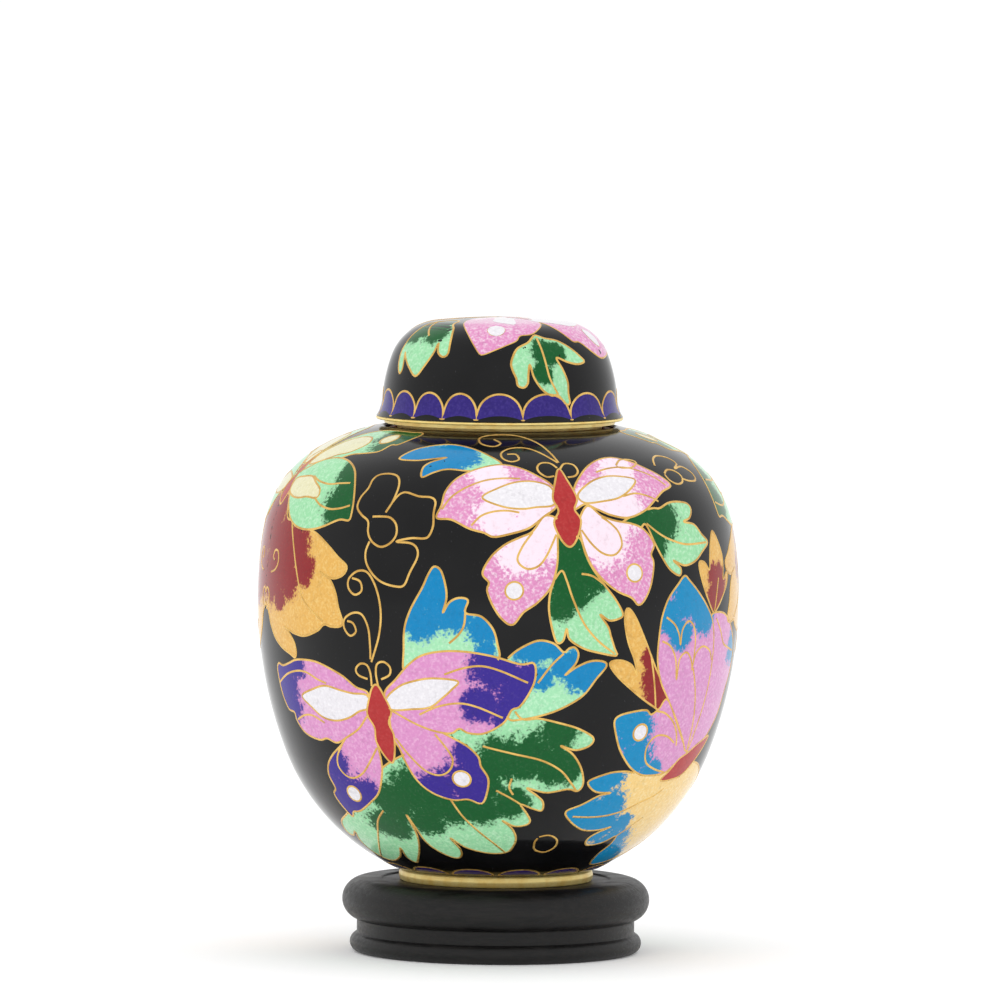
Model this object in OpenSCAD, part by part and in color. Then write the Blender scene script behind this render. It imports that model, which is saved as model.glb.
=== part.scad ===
// Lidded cloisonne ginger jar on a turned wooden stand.
// Z is up, the front of the jar faces -Y, and the stand's underside is at Z = 0.
// Millimetres throughout.

/* [Jar] */
// Radius of the jar where it stands on its foot ring
foot_r = 21.7; // [21.5:0.1:21.9]
// Height of the foot ring
foot_h = 2.6; // [2.5:0.1:2.8]
// Outer radius of the neck collar that the lid slides over
neck_r = 22.8; // [22.2:0.1:23]
// Height of the neck collar's top above the foot
neck_top = 111.5; // [109:0.5:113]
// Thickness of the copper body
copper_t = 0.9; // [0.8:0.05:1]
// Thickness of the coloured enamel outside
enamel_t = 0.8; // [0.7:0.05:0.85]
// Thickness of the turquoise enamel inside
lining_t = 0.35; // [0.3:0.05:0.4]

/* [Wires] */
// Width of a cloison wire
wire_w = 0.5; // [0.45:0.05:0.6]
// How far a wire stands above the enamel
wire_proud = 0.08; // [0.05:0.01:0.12]

/* [Stand] */
// Height of the turned stand
stand_h = 16.4; // [16.2:0.1:16.8]
// Radius of the stand's widest bead
bead_r = 34.2; // [33.8:0.1:34.6]
// Radius of the recess that the foot ring sits in
recess_r = 25.5; // [24.5:0.25:26]
// Depth of that recess
recess_d = 0.4; // [0.3:0.05:0.5]

/* [Hidden] */
$fn = 96;
// Gap between layers that are fused on the real jar, and between an inlay and its wire
gap = 0.05;
fit = 0.06;
// Turn between two points of a profile, in degrees
turn_step = 6;
foot_z = stand_h - recess_d;
belly_z = foot_z + foot_h;
neck_z = foot_z + neck_top;

// A profile is a chain of tangent arcs that starts at [radius, height].
// Each row holds an arc's radius and the angle at which it ends, where 0 runs
// outwards, 90 runs up and 180 runs inwards.
body_start = [foot_r, belly_z];
body_slope = 23;
body_arcs = [[46.7, 68.6], [94.3, 99.8], [24.5, 149], [43.9, 173]];
// The lid's skirt first bends outwards, which a negative radius says.
rim_z = 118.7;
lid_z = rim_z + 0.75;
lid_start = [27.4, lid_z];
lid_slope = 124.5;
lid_sides = [[-7.4, 93.4], [33.9, 110.2], [11.8, 174.4]];

// ---- profile functions ----
function arc_slope(slope, arcs, i) = i < 0 ? slope : arcs[i][1];
function leftward(a) = [-sin(a), cos(a)];
function arc_from(start, slope, arcs, i) =
    i == 0 ? start :
    arc_centre(start, slope, arcs, i - 1) - arcs[i - 1][0] * leftward(arcs[i - 1][1]);
function arc_centre(start, slope, arcs, i) =
    arc_from(start, slope, arcs, i) + arcs[i][0] * leftward(arc_slope(slope, arcs, i - 1));
function arc_at(start, slope, arcs, z, i = 0) =
    i == len(arcs) - 1 || z < arc_from(start, slope, arcs, i + 1)[1] ? i :
    arc_at(start, slope, arcs, z, i + 1);
// Angle of the profile at height z, and the point there
function slope_at(start, slope, arcs, z) =
    let (i = arc_at(start, slope, arcs, z), c = arc_centre(start, slope, arcs, i))
    acos((c[1] - z) / arcs[i][0]);
function point_at(start, slope, arcs, z) =
    let (i = arc_at(start, slope, arcs, z), c = arc_centre(start, slope, arcs, i))
    c - arcs[i][0] * leftward(slope_at(start, slope, arcs, z));

// The lid ends in one more arc, whose centre is on the axis
lid_side_end = arc_centre(lid_start, lid_slope, lid_sides, 2)
    - lid_sides[2][0] * leftward(lid_sides[2][1]);
lid_arcs = concat(lid_sides, [[lid_side_end[0] / sin(lid_sides[2][1]), 180]]);

function flipped(p) = [for (q = p) [-q[0], q[1]]];

// ---- ornament ----
// A panel is a plane that touches the jar: [azimuth from the front, height].
// Outlines on it are [across, up] from the point that it touches, and each
// shape is [kind, outline]. A shape lies in front of the ones listed after it.
pink_panel = [16, 95];
pink_shapes = [
    ["body", [[1.2, 16.5], [2.5, 13.5], [3.8, 9.5], [2.9, 7], [4.1, 4.5], [2.9, 0.5],
        [1.2, -1.3], [-0.7, 0.3], [-2.1, 4], [-0.8, 6.7], [-1.7, 9.5], [-0.6, 13]]],
    ["cell", [[-1.6, 8.2], [-5.7, 7.6], [-9, 7.3], [-13, 8], [-16.8, 10.2], [-13, 12.3],
        [-9, 13.5], [-5, 13.5], [-1.6, 12]]],
    ["cell", [[4.2, 10.4], [7.7, 13.3], [11.7, 14.7], [15.7, 14.8], [19, 14.1],
        [17.3, 11.9], [14, 9.8], [10, 8.9], [5.5, 8.5]]],
    ["wing", [[-1.2, 12.3], [-4.3, 15], [-7.7, 17], [-11.7, 17.8], [-17, 16.8],
        [-21.3, 14.8], [-24, 12], [-25.2, 9], [-26.5, 6.2], [-23.7, 5.6], [-20.3, 3.4],
        [-17.3, 2.3], [-15.3, 1.3], [-11.5, 1.9], [-7.7, 3], [-4.3, 5.4], [-1, 8]]],
    ["wing", [[3.4, 11], [4.5, 13.3], [7.5, 16.6], [11, 18.7], [15, 19.5], [19, 18.7],
        [23, 17], [26.3, 15.3], [28.4, 13.3], [25.7, 11.7], [23.3, 9.7], [20, 7],
        [15.7, 5.3], [11.7, 5.7], [8.3, 7], [5.5, 8.2], [3, 7.2]]],
    ["wing", [[-1.5, 1], [-1.6, -2.7], [-2, -6], [-3.3, -10], [-6.3, -13.3],
        [-9.3, -15.3], [-11.6, -17.9], [-13.8, -16.7], [-15.8, -13.7], [-17, -10.3],
        [-16.6, -8.6], [-17.9, -6.5], [-16, -3], [-13, -0.5], [-9.7, 1], [-7, 2.2],
        [-4, 5.6], [-1, 4.5]]],
    ["wing", [[3.6, 4.3], [6, 7.8], [9, 5.6], [12.3, 4.5], [16.3, 3.9], [19.3, 2.7],
        [21.7, -0.3], [20.9, -2.7], [21.5, -4.7], [20.7, -9.3], [19, -12.7],
        [17.4, -13.8], [15.7, -12.3], [12.3, -11], [9, -8.7], [6.3, -5.7], [4.7, -2.3],
        [3.8, 1.3]]],
    ["green_leaf", [[1, 1], [-1.6, 0], [-1.7, -4], [-2.5, -8.3], [-3.5, -11.5],
        [-3.7, -15.3], [-2.7, -20], [-1.7, -22.1], [-0.4, -21.5], [0.3, -19], [1, -21.3],
        [4.3, -23.3], [8.3, -24.3], [12.2, -24.8], [11.7, -23.3], [10.7, -20.7],
        [10, -18.7], [8, -16], [10.3, -17.3], [13, -16.7], [13.5, -15.6], [11.7, -12.7],
        [9, -9.5], [6.3, -6], [4.7, -2.7], [3.6, 0.5]]],
    ["green_leaf", [[14, 4], [18.5, 6.5], [22, 7.6], [24, 7.7], [26.5, 9], [29, 9.5],
        [32, 9.3], [33, 8], [32.2, 6], [30.3, 5], [33.3, 4.6], [35.5, 2.6], [37.3, 1],
        [35.6, -1.1], [33.2, -3.5], [30, -4.7], [26.8, -3.8], [28.9, -5.4], [28.5, -7],
        [26, -5.9], [24, -3.5], [21.9, 0], [19.8, 3.9], [18, 2.8]]],
    ["blue_leaf", [[-30.5, 20.8], [-27, 22.7], [-23, 23.5], [-19, 23.5], [-15.7, 22.3],
        [-13, 20.3], [-11, 18], [-14, 17], [-18, 16.6], [-22.3, 17.3], [-25.3, 16.7],
        [-27.8, 15.8], [-27, 18], [-25, 19.3], [-21.6, 20.2], [-24.3, 20.1],
        [-27.7, 20]]]
];
pink_spots = [[-11.3, -10.6], [16.5, -6.9]];

violet_panel = [-26, 57];
violet_shapes = [
    ["body", [[-3.9, 5.8], [-2.4, 3.4], [-1, 0], [-1.9, -2.7], [-1, -5.5], [-1.4, -9.5],
        [-2.4, -12.1], [-4, -10.7], [-5.7, -7.3], [-5.7, -4], [-7.2, -1], [-6.3, 2.7],
        [-5.2, 5.3]]],
    ["cell", [[-1.8, 3], [1.3, 5.7], [4.7, 7], [9.3, 7.7], [14.8, 6.9], [13.3, 5],
        [11.3, 3.3], [8.3, 1.2], [4, 0.7], [-1, 0.5]]],
    ["cell", [[-6.8, 3.3], [-10.7, 3.4], [-14, 3.7], [-18.4, 4.1], [-22.3, 2.7],
        [-26.3, 0.3], [-23.4, -1.7], [-20.1, -3.4], [-16.2, -3.6], [-12.3, -2.4],
        [-9.3, -0.6], [-6.9, 0.4]]],
    ["wing", [[-2.2, 4.2], [0.7, 7.3], [4, 10.7], [7.3, 12.8], [12, 13.6], [17.3, 13.2],
        [22.7, 11.7], [27.5, 9.5], [30, 9.3], [30.1, 6], [28.7, 2.7], [26.7, 0],
        [25.2, -0.5], [23.3, -3.3], [19.3, -5.3], [16, -5], [14.2, -3.9], [12.3, -4.9],
        [8.7, -4.3], [4.7, -2.7], [0, -0.2], [-1.4, 0.6]]],
    ["wing", [[-6.5, 3.8], [-9.6, 4.9], [-12.9, 6.9], [-16.2, 8.1], [-20.1, 9],
        [-23.4, 9], [-27.3, 8.3], [-30.1, 6.9], [-32.6, 5.7], [-34.4, 5.7],
        [-35.1, 4.1], [-34.6, 0.8], [-33.7, -2], [-32.1, -4.3], [-30, -4.5],
        [-29.4, -6.4], [-26.8, -8.6], [-22.3, -9.2], [-19.8, -8.4], [-16.8, -8.9],
        [-13.4, -7], [-10.1, -4.8], [-8.2, -2.6], [-6.8, -0.5]]],
    ["wing", [[-1.4, -5.5], [-1, 0], [4, -1.8], [8.7, -3.8], [12, -5.7], [15.3, -8],
        [17.3, -10.7], [17.5, -13], [18.5, -16], [17.7, -19.3], [15.9, -22.2],
        [13.3, -21], [10, -21], [6, -19.3], [3, -16.3], [1, -12], [0, -8.7]]],
    ["wing", [[-5.5, -8], [-5.2, -12], [-5.7, -15.3], [-7.6, -19.8], [-10.7, -22.8],
        [-14.7, -25.7], [-17, -26.4], [-18.1, -28], [-19.7, -26.3], [-21.1, -24],
        [-21.5, -22.3], [-20.5, -20.8], [-21.5, -17.7], [-20.8, -14.7], [-18.7, -12],
        [-15.7, -9.3], [-13, -6.3], [-9.5, -3.5], [-6.8, -1.5], [-5.4, -4.5]]],
    ["blue_leaf", [[2.9, 9], [3, 14], [3.3, 18.7], [4.7, 22.7], [7.3, 27.3], [8.5, 30],
        [9.7, 31.6], [11.3, 30.7], [12.5, 27.3], [12.7, 24.7], [12, 21.9], [13.3, 24],
        [15.3, 24.9], [17.3, 24.3], [16.8, 21.7], [20, 20.7], [22.3, 18], [23.2, 14.7],
        [23.2, 11], [18, 10], [12, 10], [6, 9]]]
];
violet_spots = [[13, -15.8], [-14.9, -21.2]];

spray_panel = [-8, 40];
spray_shapes = [
    ["spray", [[9, 20], [12.3, 16.2], [16, 15.7], [20, 14], [24, 11.7], [27, 8.7],
        [26.3, 7], [23.3, 6.8], [20.3, 8.6], [22.7, 6], [24.3, 2], [24.5, -2],
        [23.2, -3.6], [21.3, -2.5], [16.7, -2.3], [12.8, -0.4], [14.7, -2.7],
        [15.9, -4.7], [15.5, -7], [13.8, -6.3], [11.2, -4.6], [12.2, -7.2],
        [12.8, -9.6], [11.8, -10.7], [9.3, -10.7], [6.9, -8.8], [8.7, -11.3],
        [9.3, -14.7], [8, -18], [6.3, -19.3], [2.7, -19.2], [-2, -17.3],
        [-5.1, -14.4], [-3.3, -18], [-3.3, -20.3], [-4.5, -21.5], [-7.3, -20.3],
        [-10.7, -17], [-13, -12], [-14.6, -8.9], [-12.9, -14], [-12.7, -18.7],
        [-13.7, -24], [-14.5, -26], [-16.3, -24.7], [-17.4, -21], [-18, -24.7],
        [-20.3, -28.5], [-23.3, -29], [-26, -27.3], [-27.8, -24], [-28.4, -20.9],
        [-29.3, -23.6], [-31, -23.3], [-31.5, -19.3], [-29, -14], [-25, -6],
        [-18, 4], [-6, 12], [4, 18]]]
];

mid_panel = [14, 62];
mid_shapes = [
    ["blue_leaf", [[-9.9, 8.1], [-7.2, 10.1], [-3.9, 11.4], [-0.6, 10.7], [1.6, 8.8],
        [2.8, 9.6], [4.1, 9.8], [5, 8.4], [4.4, 6.2], [2.1, 3.7], [4.4, 5.3], [7.8, 6.6],
        [10.8, 6.4], [11.7, 5.3], [9.4, 2.6], [6.7, -0.8], [3.3, -3], [-1.1, -4.9],
        [-6.9, -6.3], [-10, -6], [-11, 0], [-11, 6]]]
];

green_panel = [-55, 103];
green_wings = [
    ["cell", [[-13, 9], [-12.1, 13.1], [-9, 16.9], [-5.9, 18.6], [-2.1, 18.8],
        [0.4, 17.2], [0.9, 15.3], [-0.9, 12.8], [-4, 11.7], [-9, 9.4]]],
    ["cell", [[-13.4, 4.6], [-9.6, 5.1], [-5.9, 5], [-2.8, 3.4], [0.1, 1.9], [1, 0.3],
        [0.1, -0.5], [-3.4, -0.3], [-7.1, -0.6], [-10.6, 0], [-13.4, 1.7]]],
    ["wing", [[-14.3, 6.3], [-11.5, 7.8], [-7.1, 10], [-2.1, 10.8], [2.9, 10],
        [7.3, 7.8], [10.4, 4.4], [12.6, 0.6], [13.5, -2.5], [13.3, -4.1], [10.7, -4.4],
        [6.6, -6.3], [2.9, -7.4], [-0.9, -7.6], [-4.6, -6.9], [-7.8, -5],
        [-10.6, -1.9], [-12.4, 0.6], [-14, 3.1]]],
    ["wing", [[-13.4, 7.6], [-13.2, 12.5], [-11.5, 15.6], [-8.4, 19.4], [-4, 21.9],
        [1, 22.4], [6, 22.5], [9.1, 22.9], [10.4, 21.9], [10.4, 19.4], [9.8, 17.3],
        [8.4, 16.9], [7.9, 14.3], [4.8, 13.1], [1, 12.2], [-2.1, 10.4], [-7, 9.5],
        [-12, 7]]]
];
green_spots = [[4.8, 18.8]];
green_body = [
    ["body", [[-15.4, 13.6], [-14, 12.8], [-12.9, 10], [-13.7, 6.9], [-13.1, 3.8],
        [-13.7, 0.6], [-15.2, -1.7], [-16.9, -0.6], [-17.8, 2.5], [-16.8, 5.6],
        [-17.8, 8.8], [-17.1, 11.9]]]
];
// The far half of this butterfly is the near half flipped, on a panel of its own
far_green_panel = [-93, 103];

lily_panel = [-56, 83];
lily_shapes = [
    ["lily", [[-8, 15], [-5.1, 14.5], [-1, 13.4], [3, 12.8], [6.1, 11.8], [9.9, 9.6],
        [13, 7.4], [15.6, 5.6], [14.9, 3.7], [12.4, 2.7], [9.9, 3.1], [7.9, 3.9],
        [11.1, 2.4], [13, -0.4], [13.9, -3.5], [15.1, -6.6], [14.3, -7.7],
        [11.8, -7.9], [9.6, -7.6], [7.4, -9.1], [3, -10.5], [-0.8, -10.3],
        [-3.3, -9.7], [-5.6, -9.1], [-3.3, -10.4], [-1.4, -12.3], [-0.9, -14.4],
        [-1.7, -15.6], [-3.9, -14.8], [-7, -13.8], [-10.4, -11.9], [-12.9, -9.1],
        [-14.6, -6], [-18, -3], [-18.5, 3], [-18.5, 10], [-18, 17], [-12, 20]]]
];
// The lily's far half, likewise
far_lily_panel = [-92, 83];

blue_panel = [48, 57];
blue_shapes = [
    ["body", [[3.7, -17], [6, -14.7], [8.3, -12.3], [11.3, -11.2], [15.3, -9.6],
        [20.7, -8.6], [19.7, -10.7], [16, -14], [12, -16.6], [7.3, -17.3]]],
    ["wing", [[10.6, -10.6], [7.3, -7.3], [3.3, -2.7], [-1.3, 2.7], [-4.3, 6.7],
        [-5.9, 11.3], [-6, 16], [-5.3, 20.7], [-3.3, 24.7], [0, 27.7], [2.2, 29.2],
        [4, 28], [7.3, 25.3], [10.7, 22], [13, 19], [14.2, 14.7], [14.3, 8.7],
        [13.7, 2], [12.3, -4.7]]],
    ["wing", [[10.8, -11], [7.5, -7.8], [3.3, -3], [-1.3, 2.4], [-3.4, 0.4],
        [-5.5, -0.9], [-7, 0.1], [-10, -0.1], [-13.7, -1], [-15, -2.4], [-14, -5.3],
        [-11.7, -9.3], [-8, -13], [-4.3, -15], [-0.7, -15.5], [4, -15.2],
        [7, -13.4]]],
    ["wing", [[11, -10.8], [12.5, -4], [13.5, 3], [14, 9], [13.7, 15], [12.6, 19.8],
        [16.7, 20.1], [20.7, 18.7], [24.7, 15.3], [28, 10], [27.5, 5], [25.3, 1],
        [23.3, -4], [19.3, -8.2], [14, -10.6]]],
    ["red_leaf", [[-14.4, 22.5], [-12.7, 20.7], [-10, 16], [-6.8, 10.5], [-4, 6.5],
        [-1, 2], [-2.6, -0.4], [-4.6, 0.6], [-8, 2.3], [-12, 4.7], [-15.7, 7.3],
        [-18, 9.6], [-18.1, 10.8], [-15.7, 11.2], [-13, 10.3], [-11.3, 8.2],
        [-12.3, 11.3], [-14.3, 15.3], [-15.3, 19.3], [-15.2, 21.9]]]
];
blue_spots = [[-7.5, -5]];

low_panel = [58, 36];
low_shapes = [
    ["blue_leaf", [[-13.7, 7], [-16.3, 6.9], [-20, 5.9], [-23.6, 3.4], [-23.9, 2],
        [-21.3, 0.7], [-17.6, 1.2], [-20, 0], [-22.7, -3.3], [-24.8, -6],
        [-22.5, -8.1], [-18, -9.7], [-14, -9], [-11.2, -7.7], [-13.7, -10],
        [-14.5, -12.3], [-13, -14], [-9.3, -12.7], [-7, -10.4], [-6, -13.3],
        [-6.2, -17], [-3.5, -21], [2, -20.5], [8, -18.5], [14, -15], [19, -9.5],
        [22, -3], [19, 2.5], [13, 7], [7, 9], [0, 9.5], [-7, 8.5]]]
];

bud_panel = [60, 88];
bud_shapes = [
    ["red_leaf", [[2.2, -10], [0, -7.3], [-2, -4], [-3.3, -0.3], [-3, 1.3], [-0.9, 1],
        [1, -0.7], [1.6, 2], [2.7, 5.3], [4.4, 7.7], [6.9, 5], [8.5, 1.3], [8, -3.1],
        [10.1, -1.7], [11.2, -2.1], [10.1, -4.3], [6.9, -7.3], [3.6, -9.9]]]
];

// The butterfly on the lid is drawn from above: [X, Y]
crown_shapes = [
    ["body", [[7, -5.2], [6.2, -2], [4.6, 0.2], [4.2, 3], [1.8, 6], [-0.3, 7.6],
        [-1.3, 6.5], [-0.2, 4], [1, 1.5], [1.6, -1], [3.6, -3], [5.6, -4.9]]],
    ["cell", [[-0.8, -2.5], [-1.4, -7], [-1.6, -10.8], [0.1, -13.6], [2.9, -15.3],
        [3.4, -12.6], [3.1, -8.3], [2.8, -3.5], [1, -1.5]]],
    ["cell", [[5.5, -2.5], [6.3, -6], [7.9, -9.2], [11.4, -9.8], [15.1, -8.3],
        [16.7, -4.5], [16.5, 1.5], [14, 4], [8, 3.5], [4.8, 1.5]]],
    ["cell", [[-1.5, 5.6], [-7, 4.5], [-13, 3.8], [-17.5, 5.5], [-13, 8], [-7, 8.3],
        [-2.5, 7]]],
    ["cell", [[2.5, 7], [6, 9.5], [10, 12], [11.5, 15], [8, 15.8], [4, 13], [2, 9.5]]],
    ["wing", [[-6.6, -6], [-7.9, -12], [-7.7, -16], [-6.5, -20], [-4.9, -22.6],
        [-3.5, -23.2], [0, -22.6], [3.3, -21.2], [4.3, -19.7], [7, -18.3], [8.6, -15],
        [8.7, -11.5], [7.5, -7], [5.5, -1.5], [1.5, 2], [-3, -1]]],
    ["wing", [[7.5, -7.5], [9.5, -11], [12.6, -13.6], [15.8, -14.6], [17.3, -13.3],
        [20.1, -11.8], [22.3, -9], [23.4, -5], [23.6, 0], [22.6, 5], [18, 7.2],
        [10, 6.5], [4, 3.5], [3.5, 0.5]]],
    ["wing", [[0, 4.5], [-6, 3], [-12, 1], [-17.5, 1.5], [-21, 4], [-22, 7.5],
        [-20, 10.2], [-16, 11.5], [-10, 11.5], [-5, 9.5], [-0.6, 7]]],
    ["wing", [[2, 5.5], [7, 7.8], [12, 8.7], [16.5, 8.8], [18, 10.8], [16, 14.5],
        [11.5, 17.5], [6, 19.2], [2.5, 18], [0.8, 14], [0.3, 8]]]
];
crown_spots = [[-0.9, -18.4], [19.9, -6.4]];
near_leaf_panel = [25, 132];
near_leaf_shapes = [
    ["leaf", [[-0.9, 7.4], [1, 6.5], [3.8, 5.9], [6.6, 4.3], [9.3, 2.2], [10.2, 1.2],
        [8.2, 0.4], [5.4, 0.7], [2.6, 1.6], [3.8, -1], [4.8, -3.8], [4.8, -6.3],
        [5.1, -8.4], [4.1, -8.7], [2.1, -6.8], [0.4, -6.9], [-1.8, -5.4],
        [-3.4, -2.7], [-4, 0.2], [-4.6, -2.1], [-4.9, -4], [-5.9, -4.9],
        [-7.1, -4.3], [-7.3, -2.7], [-7.9, -0.7], [-7.9, 1.2], [-6.2, 4],
        [-3.4, 5.4], [-1.8, 6.8]]]
];
far_leaf_panel = [-55, 133.5];
far_leaf_shapes = [
    ["leaf", [[-4, 9.5], [-4.8, 5.7], [-5, 2.9], [-5.1, 0.1], [-4.3, -2.7], [-3, -4.3],
        [-2.2, -3.2], [-2.6, -1], [-3.1, 0.6], [-1.8, -1], [0.4, -2.9], [3.3, -4.6],
        [5.4, -1.8], [6.6, 1.2], [6.5, 3.7], [7.7, 1.5], [9.3, 0.7], [10.2, 1.8],
        [8.8, 5.1], [6.6, 7.9], [4.3, 9.3], [2, 11], [-1, 11.6]]]
];
// Azimuths where one scallop on the lid's skirt meets the next, and their height
scallop_edges = [-100, -81, -63, -45, -28, -11, 11, 36, 59, 81, 103, 125, 147, 169, 191,
    213, 237, 260];
scallop_h = 5.6;
// Radius and height at which the scallops' outlines are measured
skirt_r = 26;
skirt_z = 124;
crown_z = 141;
lappets = 14;
lappet_w = 4.6;
lappet_h = 4.2;
spot_r = 1.9;
// Azimuth of the plane that the green butterfly and the lily are flipped about
mirror_az = -74;
far_green_wings = [for (s = green_wings) [s[0], flipped(s[1])]];
far_green_spots = flipped(green_spots);
far_lily_shapes = [for (s = lily_shapes) [s[0], flipped(s[1])]];

// ---- revolved layers ----
// Points every few degrees along a profile that is pushed out along its normal
function stations(from, to) = let (n = ceil(abs(to - from) / turn_step))
    [for (k = [0:n - 1]) from + (to - from) * k / n];
function pushed(start, slope, arcs, by) = concat([
    for (i = [0:len(arcs) - 1], a = stations(arc_slope(slope, arcs, i - 1), arcs[i][1]))
    arc_centre(start, slope, arcs, i) - (arcs[i][0] + by) * leftward(a)
], [
    let (i = len(arcs) - 1)
    arc_centre(start, slope, arcs, i) - (arcs[i][0] + by) * leftward(arcs[i][1])
]);
function backwards(p) = [for (i = [len(p) - 1:-1:0]) p[i]];
module layer(start, slope, arcs, outer, inner) rotate_extrude() polygon(
    concat(pushed(start, slope, arcs, outer), backwards(pushed(start, slope, arcs, inner)))
);
module jar_layer(outer, inner) layer(body_start, body_slope, body_arcs, outer, inner);
module lid_layer(outer, inner) intersection() {
    layer(lid_start, lid_slope, lid_arcs, outer, inner);
    translate([0, 0, lid_z]) cylinder(r = 40, h = 40);
}
module ring(inner, outer, low, high) translate([0, 0, low]) difference() {
    cylinder(r = outer, h = high - low);
    translate([0, 0, -1]) cylinder(r = inner, h = high - low + 2);
}
copper_out = -enamel_t - gap;
copper_in = copper_out - copper_t;
lining_out = copper_in - gap;
lining_in = lining_out - lining_t;

// ---- drawing on a panel ----
module on_profile(start, slope, arcs, panel) {
    p = point_at(start, slope, arcs, panel[1]);
    rotate([0, 0, panel[0]]) translate([0, -p[0], p[1]])
    rotate([180 - slope_at(start, slope, arcs, panel[1]), 0, 0]) children();
}
module on_jar(panel) on_profile(body_start, body_slope, body_arcs, panel) children();
module on_lid(panel) on_profile(lid_start, lid_slope, lid_arcs, panel) children();
// Cutter through a layer, the panel's drawing pushed inwards
module push(depth = 24) translate([0, 0, -depth]) linear_extrude(depth + 3)
    offset(delta = 0.001) children();
function insect(kind) = kind == "body" || kind == "cell" || kind == "wing";
// Enamel of one kind: each shape inside its wire, less all that lies on it
module fill(kind, shapes, spots = []) {
    for (i = [0:len(shapes) - 1]) if (shapes[i][0] == kind) difference() {
        offset(delta = -wire_w / 2 - fit) polygon(shapes[i][1]);
        for (j = [0:1:i - 1]) offset(delta = wire_w / 2 + fit) polygon(shapes[j][1]);
        for (p = spots) translate(p) circle(spot_r + wire_w / 2 + fit, $fn = 24);
    }
}
module spot_fill(spots) for (p = spots) translate(p) circle(spot_r - wire_w / 2 - fit, $fn = 24);
// Wires of one kind, "insect" for all of a butterfly's
module wires(kind, shapes, spots = []) {
    own = kind == "insect";
    for (i = [0:len(shapes) - 1]) if (own ? insect(shapes[i][0]) : shapes[i][0] == kind)
        difference() {
            offset(delta = wire_w / 2) polygon(shapes[i][1]);
            offset(delta = -wire_w / 2) polygon(shapes[i][1]);
            for (j = [0:1:i - 1])
                offset(delta = insect(shapes[j][0]) == own ? -wire_w / 2 : wire_w / 2 + fit)
                polygon(shapes[j][1]);
        }
    for (p = spots) translate(p) difference() {
        circle(spot_r + wire_w / 2, $fn = 24);
        circle(spot_r - wire_w / 2, $fn = 24);
    }
}
// All that a panel takes away from the ground round it
module shadow(shapes) for (s = shapes) offset(delta = wire_w / 2 + fit) polygon(s[1]);
module pink_shadow() on_jar(pink_panel) push() shadow(pink_shapes);
module violet_shadow() on_jar(violet_panel) push() shadow(violet_shapes);
module blue_shadow() on_jar(blue_panel) push() shadow(blue_shapes);
module green_body_shadow() on_jar(green_panel) push() shadow(green_body);
module green_shadow() {
    on_jar(green_panel) push() shadow(green_wings);
    on_jar(far_green_panel) push() shadow(far_green_wings);
    green_body_shadow();
}
module spray_shadow() on_jar(spray_panel) push() shadow(spray_shapes);
module mid_shadow() on_jar(mid_panel) push() shadow(mid_shapes);
module low_shadow() on_jar(low_panel) push() shadow(low_shapes);
module bud_shadow() on_jar(bud_panel) push() shadow(bud_shapes);
module lily_shadow() {
    on_jar(lily_panel) push() shadow(lily_shapes);
    on_jar(far_lily_panel) push() shadow(far_lily_shapes);
}
// The half of the jar on one side of the plane that the lily is flipped about
module beside(side) rotate([0, 0, mirror_az]) translate([side * (100 + fit), 0, 100])
    cube(200, center = true);
module jar_fill() intersection() {
    jar_layer(0, -enamel_t);
    children();
}
module jar_wire() intersection() {
    jar_layer(wire_proud, -enamel_t);
    children();
}
module lid_fill() intersection() {
    lid_layer(0, -enamel_t);
    children();
}
module lid_wire() intersection() {
    lid_layer(wire_proud, -enamel_t);
    children();
}

// ---- stand ----
module stand() color("#151314") rotate_extrude() difference() {
    union() {
        square([bead_r - 4.65, stand_h]);
        square([30.9, stand_h / 2]);
        translate([30.3, 2.15]) circle(2.15);
        translate([bead_r - 4.65, stand_h - 4.65]) circle(4.65);
    }
    translate([-1, foot_z]) square([recess_r + 1, recess_d + 1]);
}

// ---- jar ----
module foot_ring() color("#c9a45c") rotate_extrude() difference() {
    union() {
        translate([20.05, foot_z]) square([foot_r - 20.45, belly_z + 0.75 - foot_z]);
        translate([foot_r - 1, foot_z]) square([0.7, belly_z - gap - foot_z]);
        intersection() {
            translate([foot_r - 1.5, foot_z + foot_h / 2]) circle(1.5);
            translate([20.05, foot_z]) square([3, foot_h - gap]);
        }
    }
}
floor_z = belly_z + 0.8;
seam_z = 79;
module copper_lower_shell() color("#b4774a") {
    intersection() {
        jar_layer(copper_out, copper_in);
        cylinder(r = 80, h = seam_z - gap / 2);
    }
    translate([0, 0, floor_z]) cylinder(r = foot_r - 0.5, h = copper_t);
}
module copper_upper_shell() color("#b4774a") intersection() {
    jar_layer(copper_out, copper_in);
    ring(neck_r + gap, 80, seam_z + gap / 2, 140);
}
shoulder_z = 117.8;
seat_r = 25.6;
neck_t = 1.2;
module neck_collar() color("#b4774a") {
    ring(neck_r - neck_t, neck_r, shoulder_z - 3, neck_z - 1.6);
    ring(neck_r - 0.5, seat_r, shoulder_z + 0.1, rim_z - gap);
}
module mouth_rim() color("#c9a45c") rotate_extrude() {
    translate([neck_r - neck_t / 2, neck_z - 0.75]) circle(0.75);
    translate([neck_r - neck_t, neck_z - 1.55]) square([neck_t, 0.8]);
}
module neck_enamel() color("#2a9fc0")
    ring(neck_r + gap, neck_r + gap + 0.3, rim_z + 0.3, neck_z - 1.8);
module lining_enamel() color("#2a9fc0") {
    intersection() {
        jar_layer(lining_out, lining_in);
        ring(0, 80, floor_z + copper_t + gap, 140);
    }
    translate([0, 0, floor_z + copper_t + gap]) cylinder(r = foot_r - 2, h = lining_t);
}
module base_enamel() color("#2a9fc0")
    translate([0, 0, floor_z - gap - lining_t]) cylinder(r = 20, h = lining_t);
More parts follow.
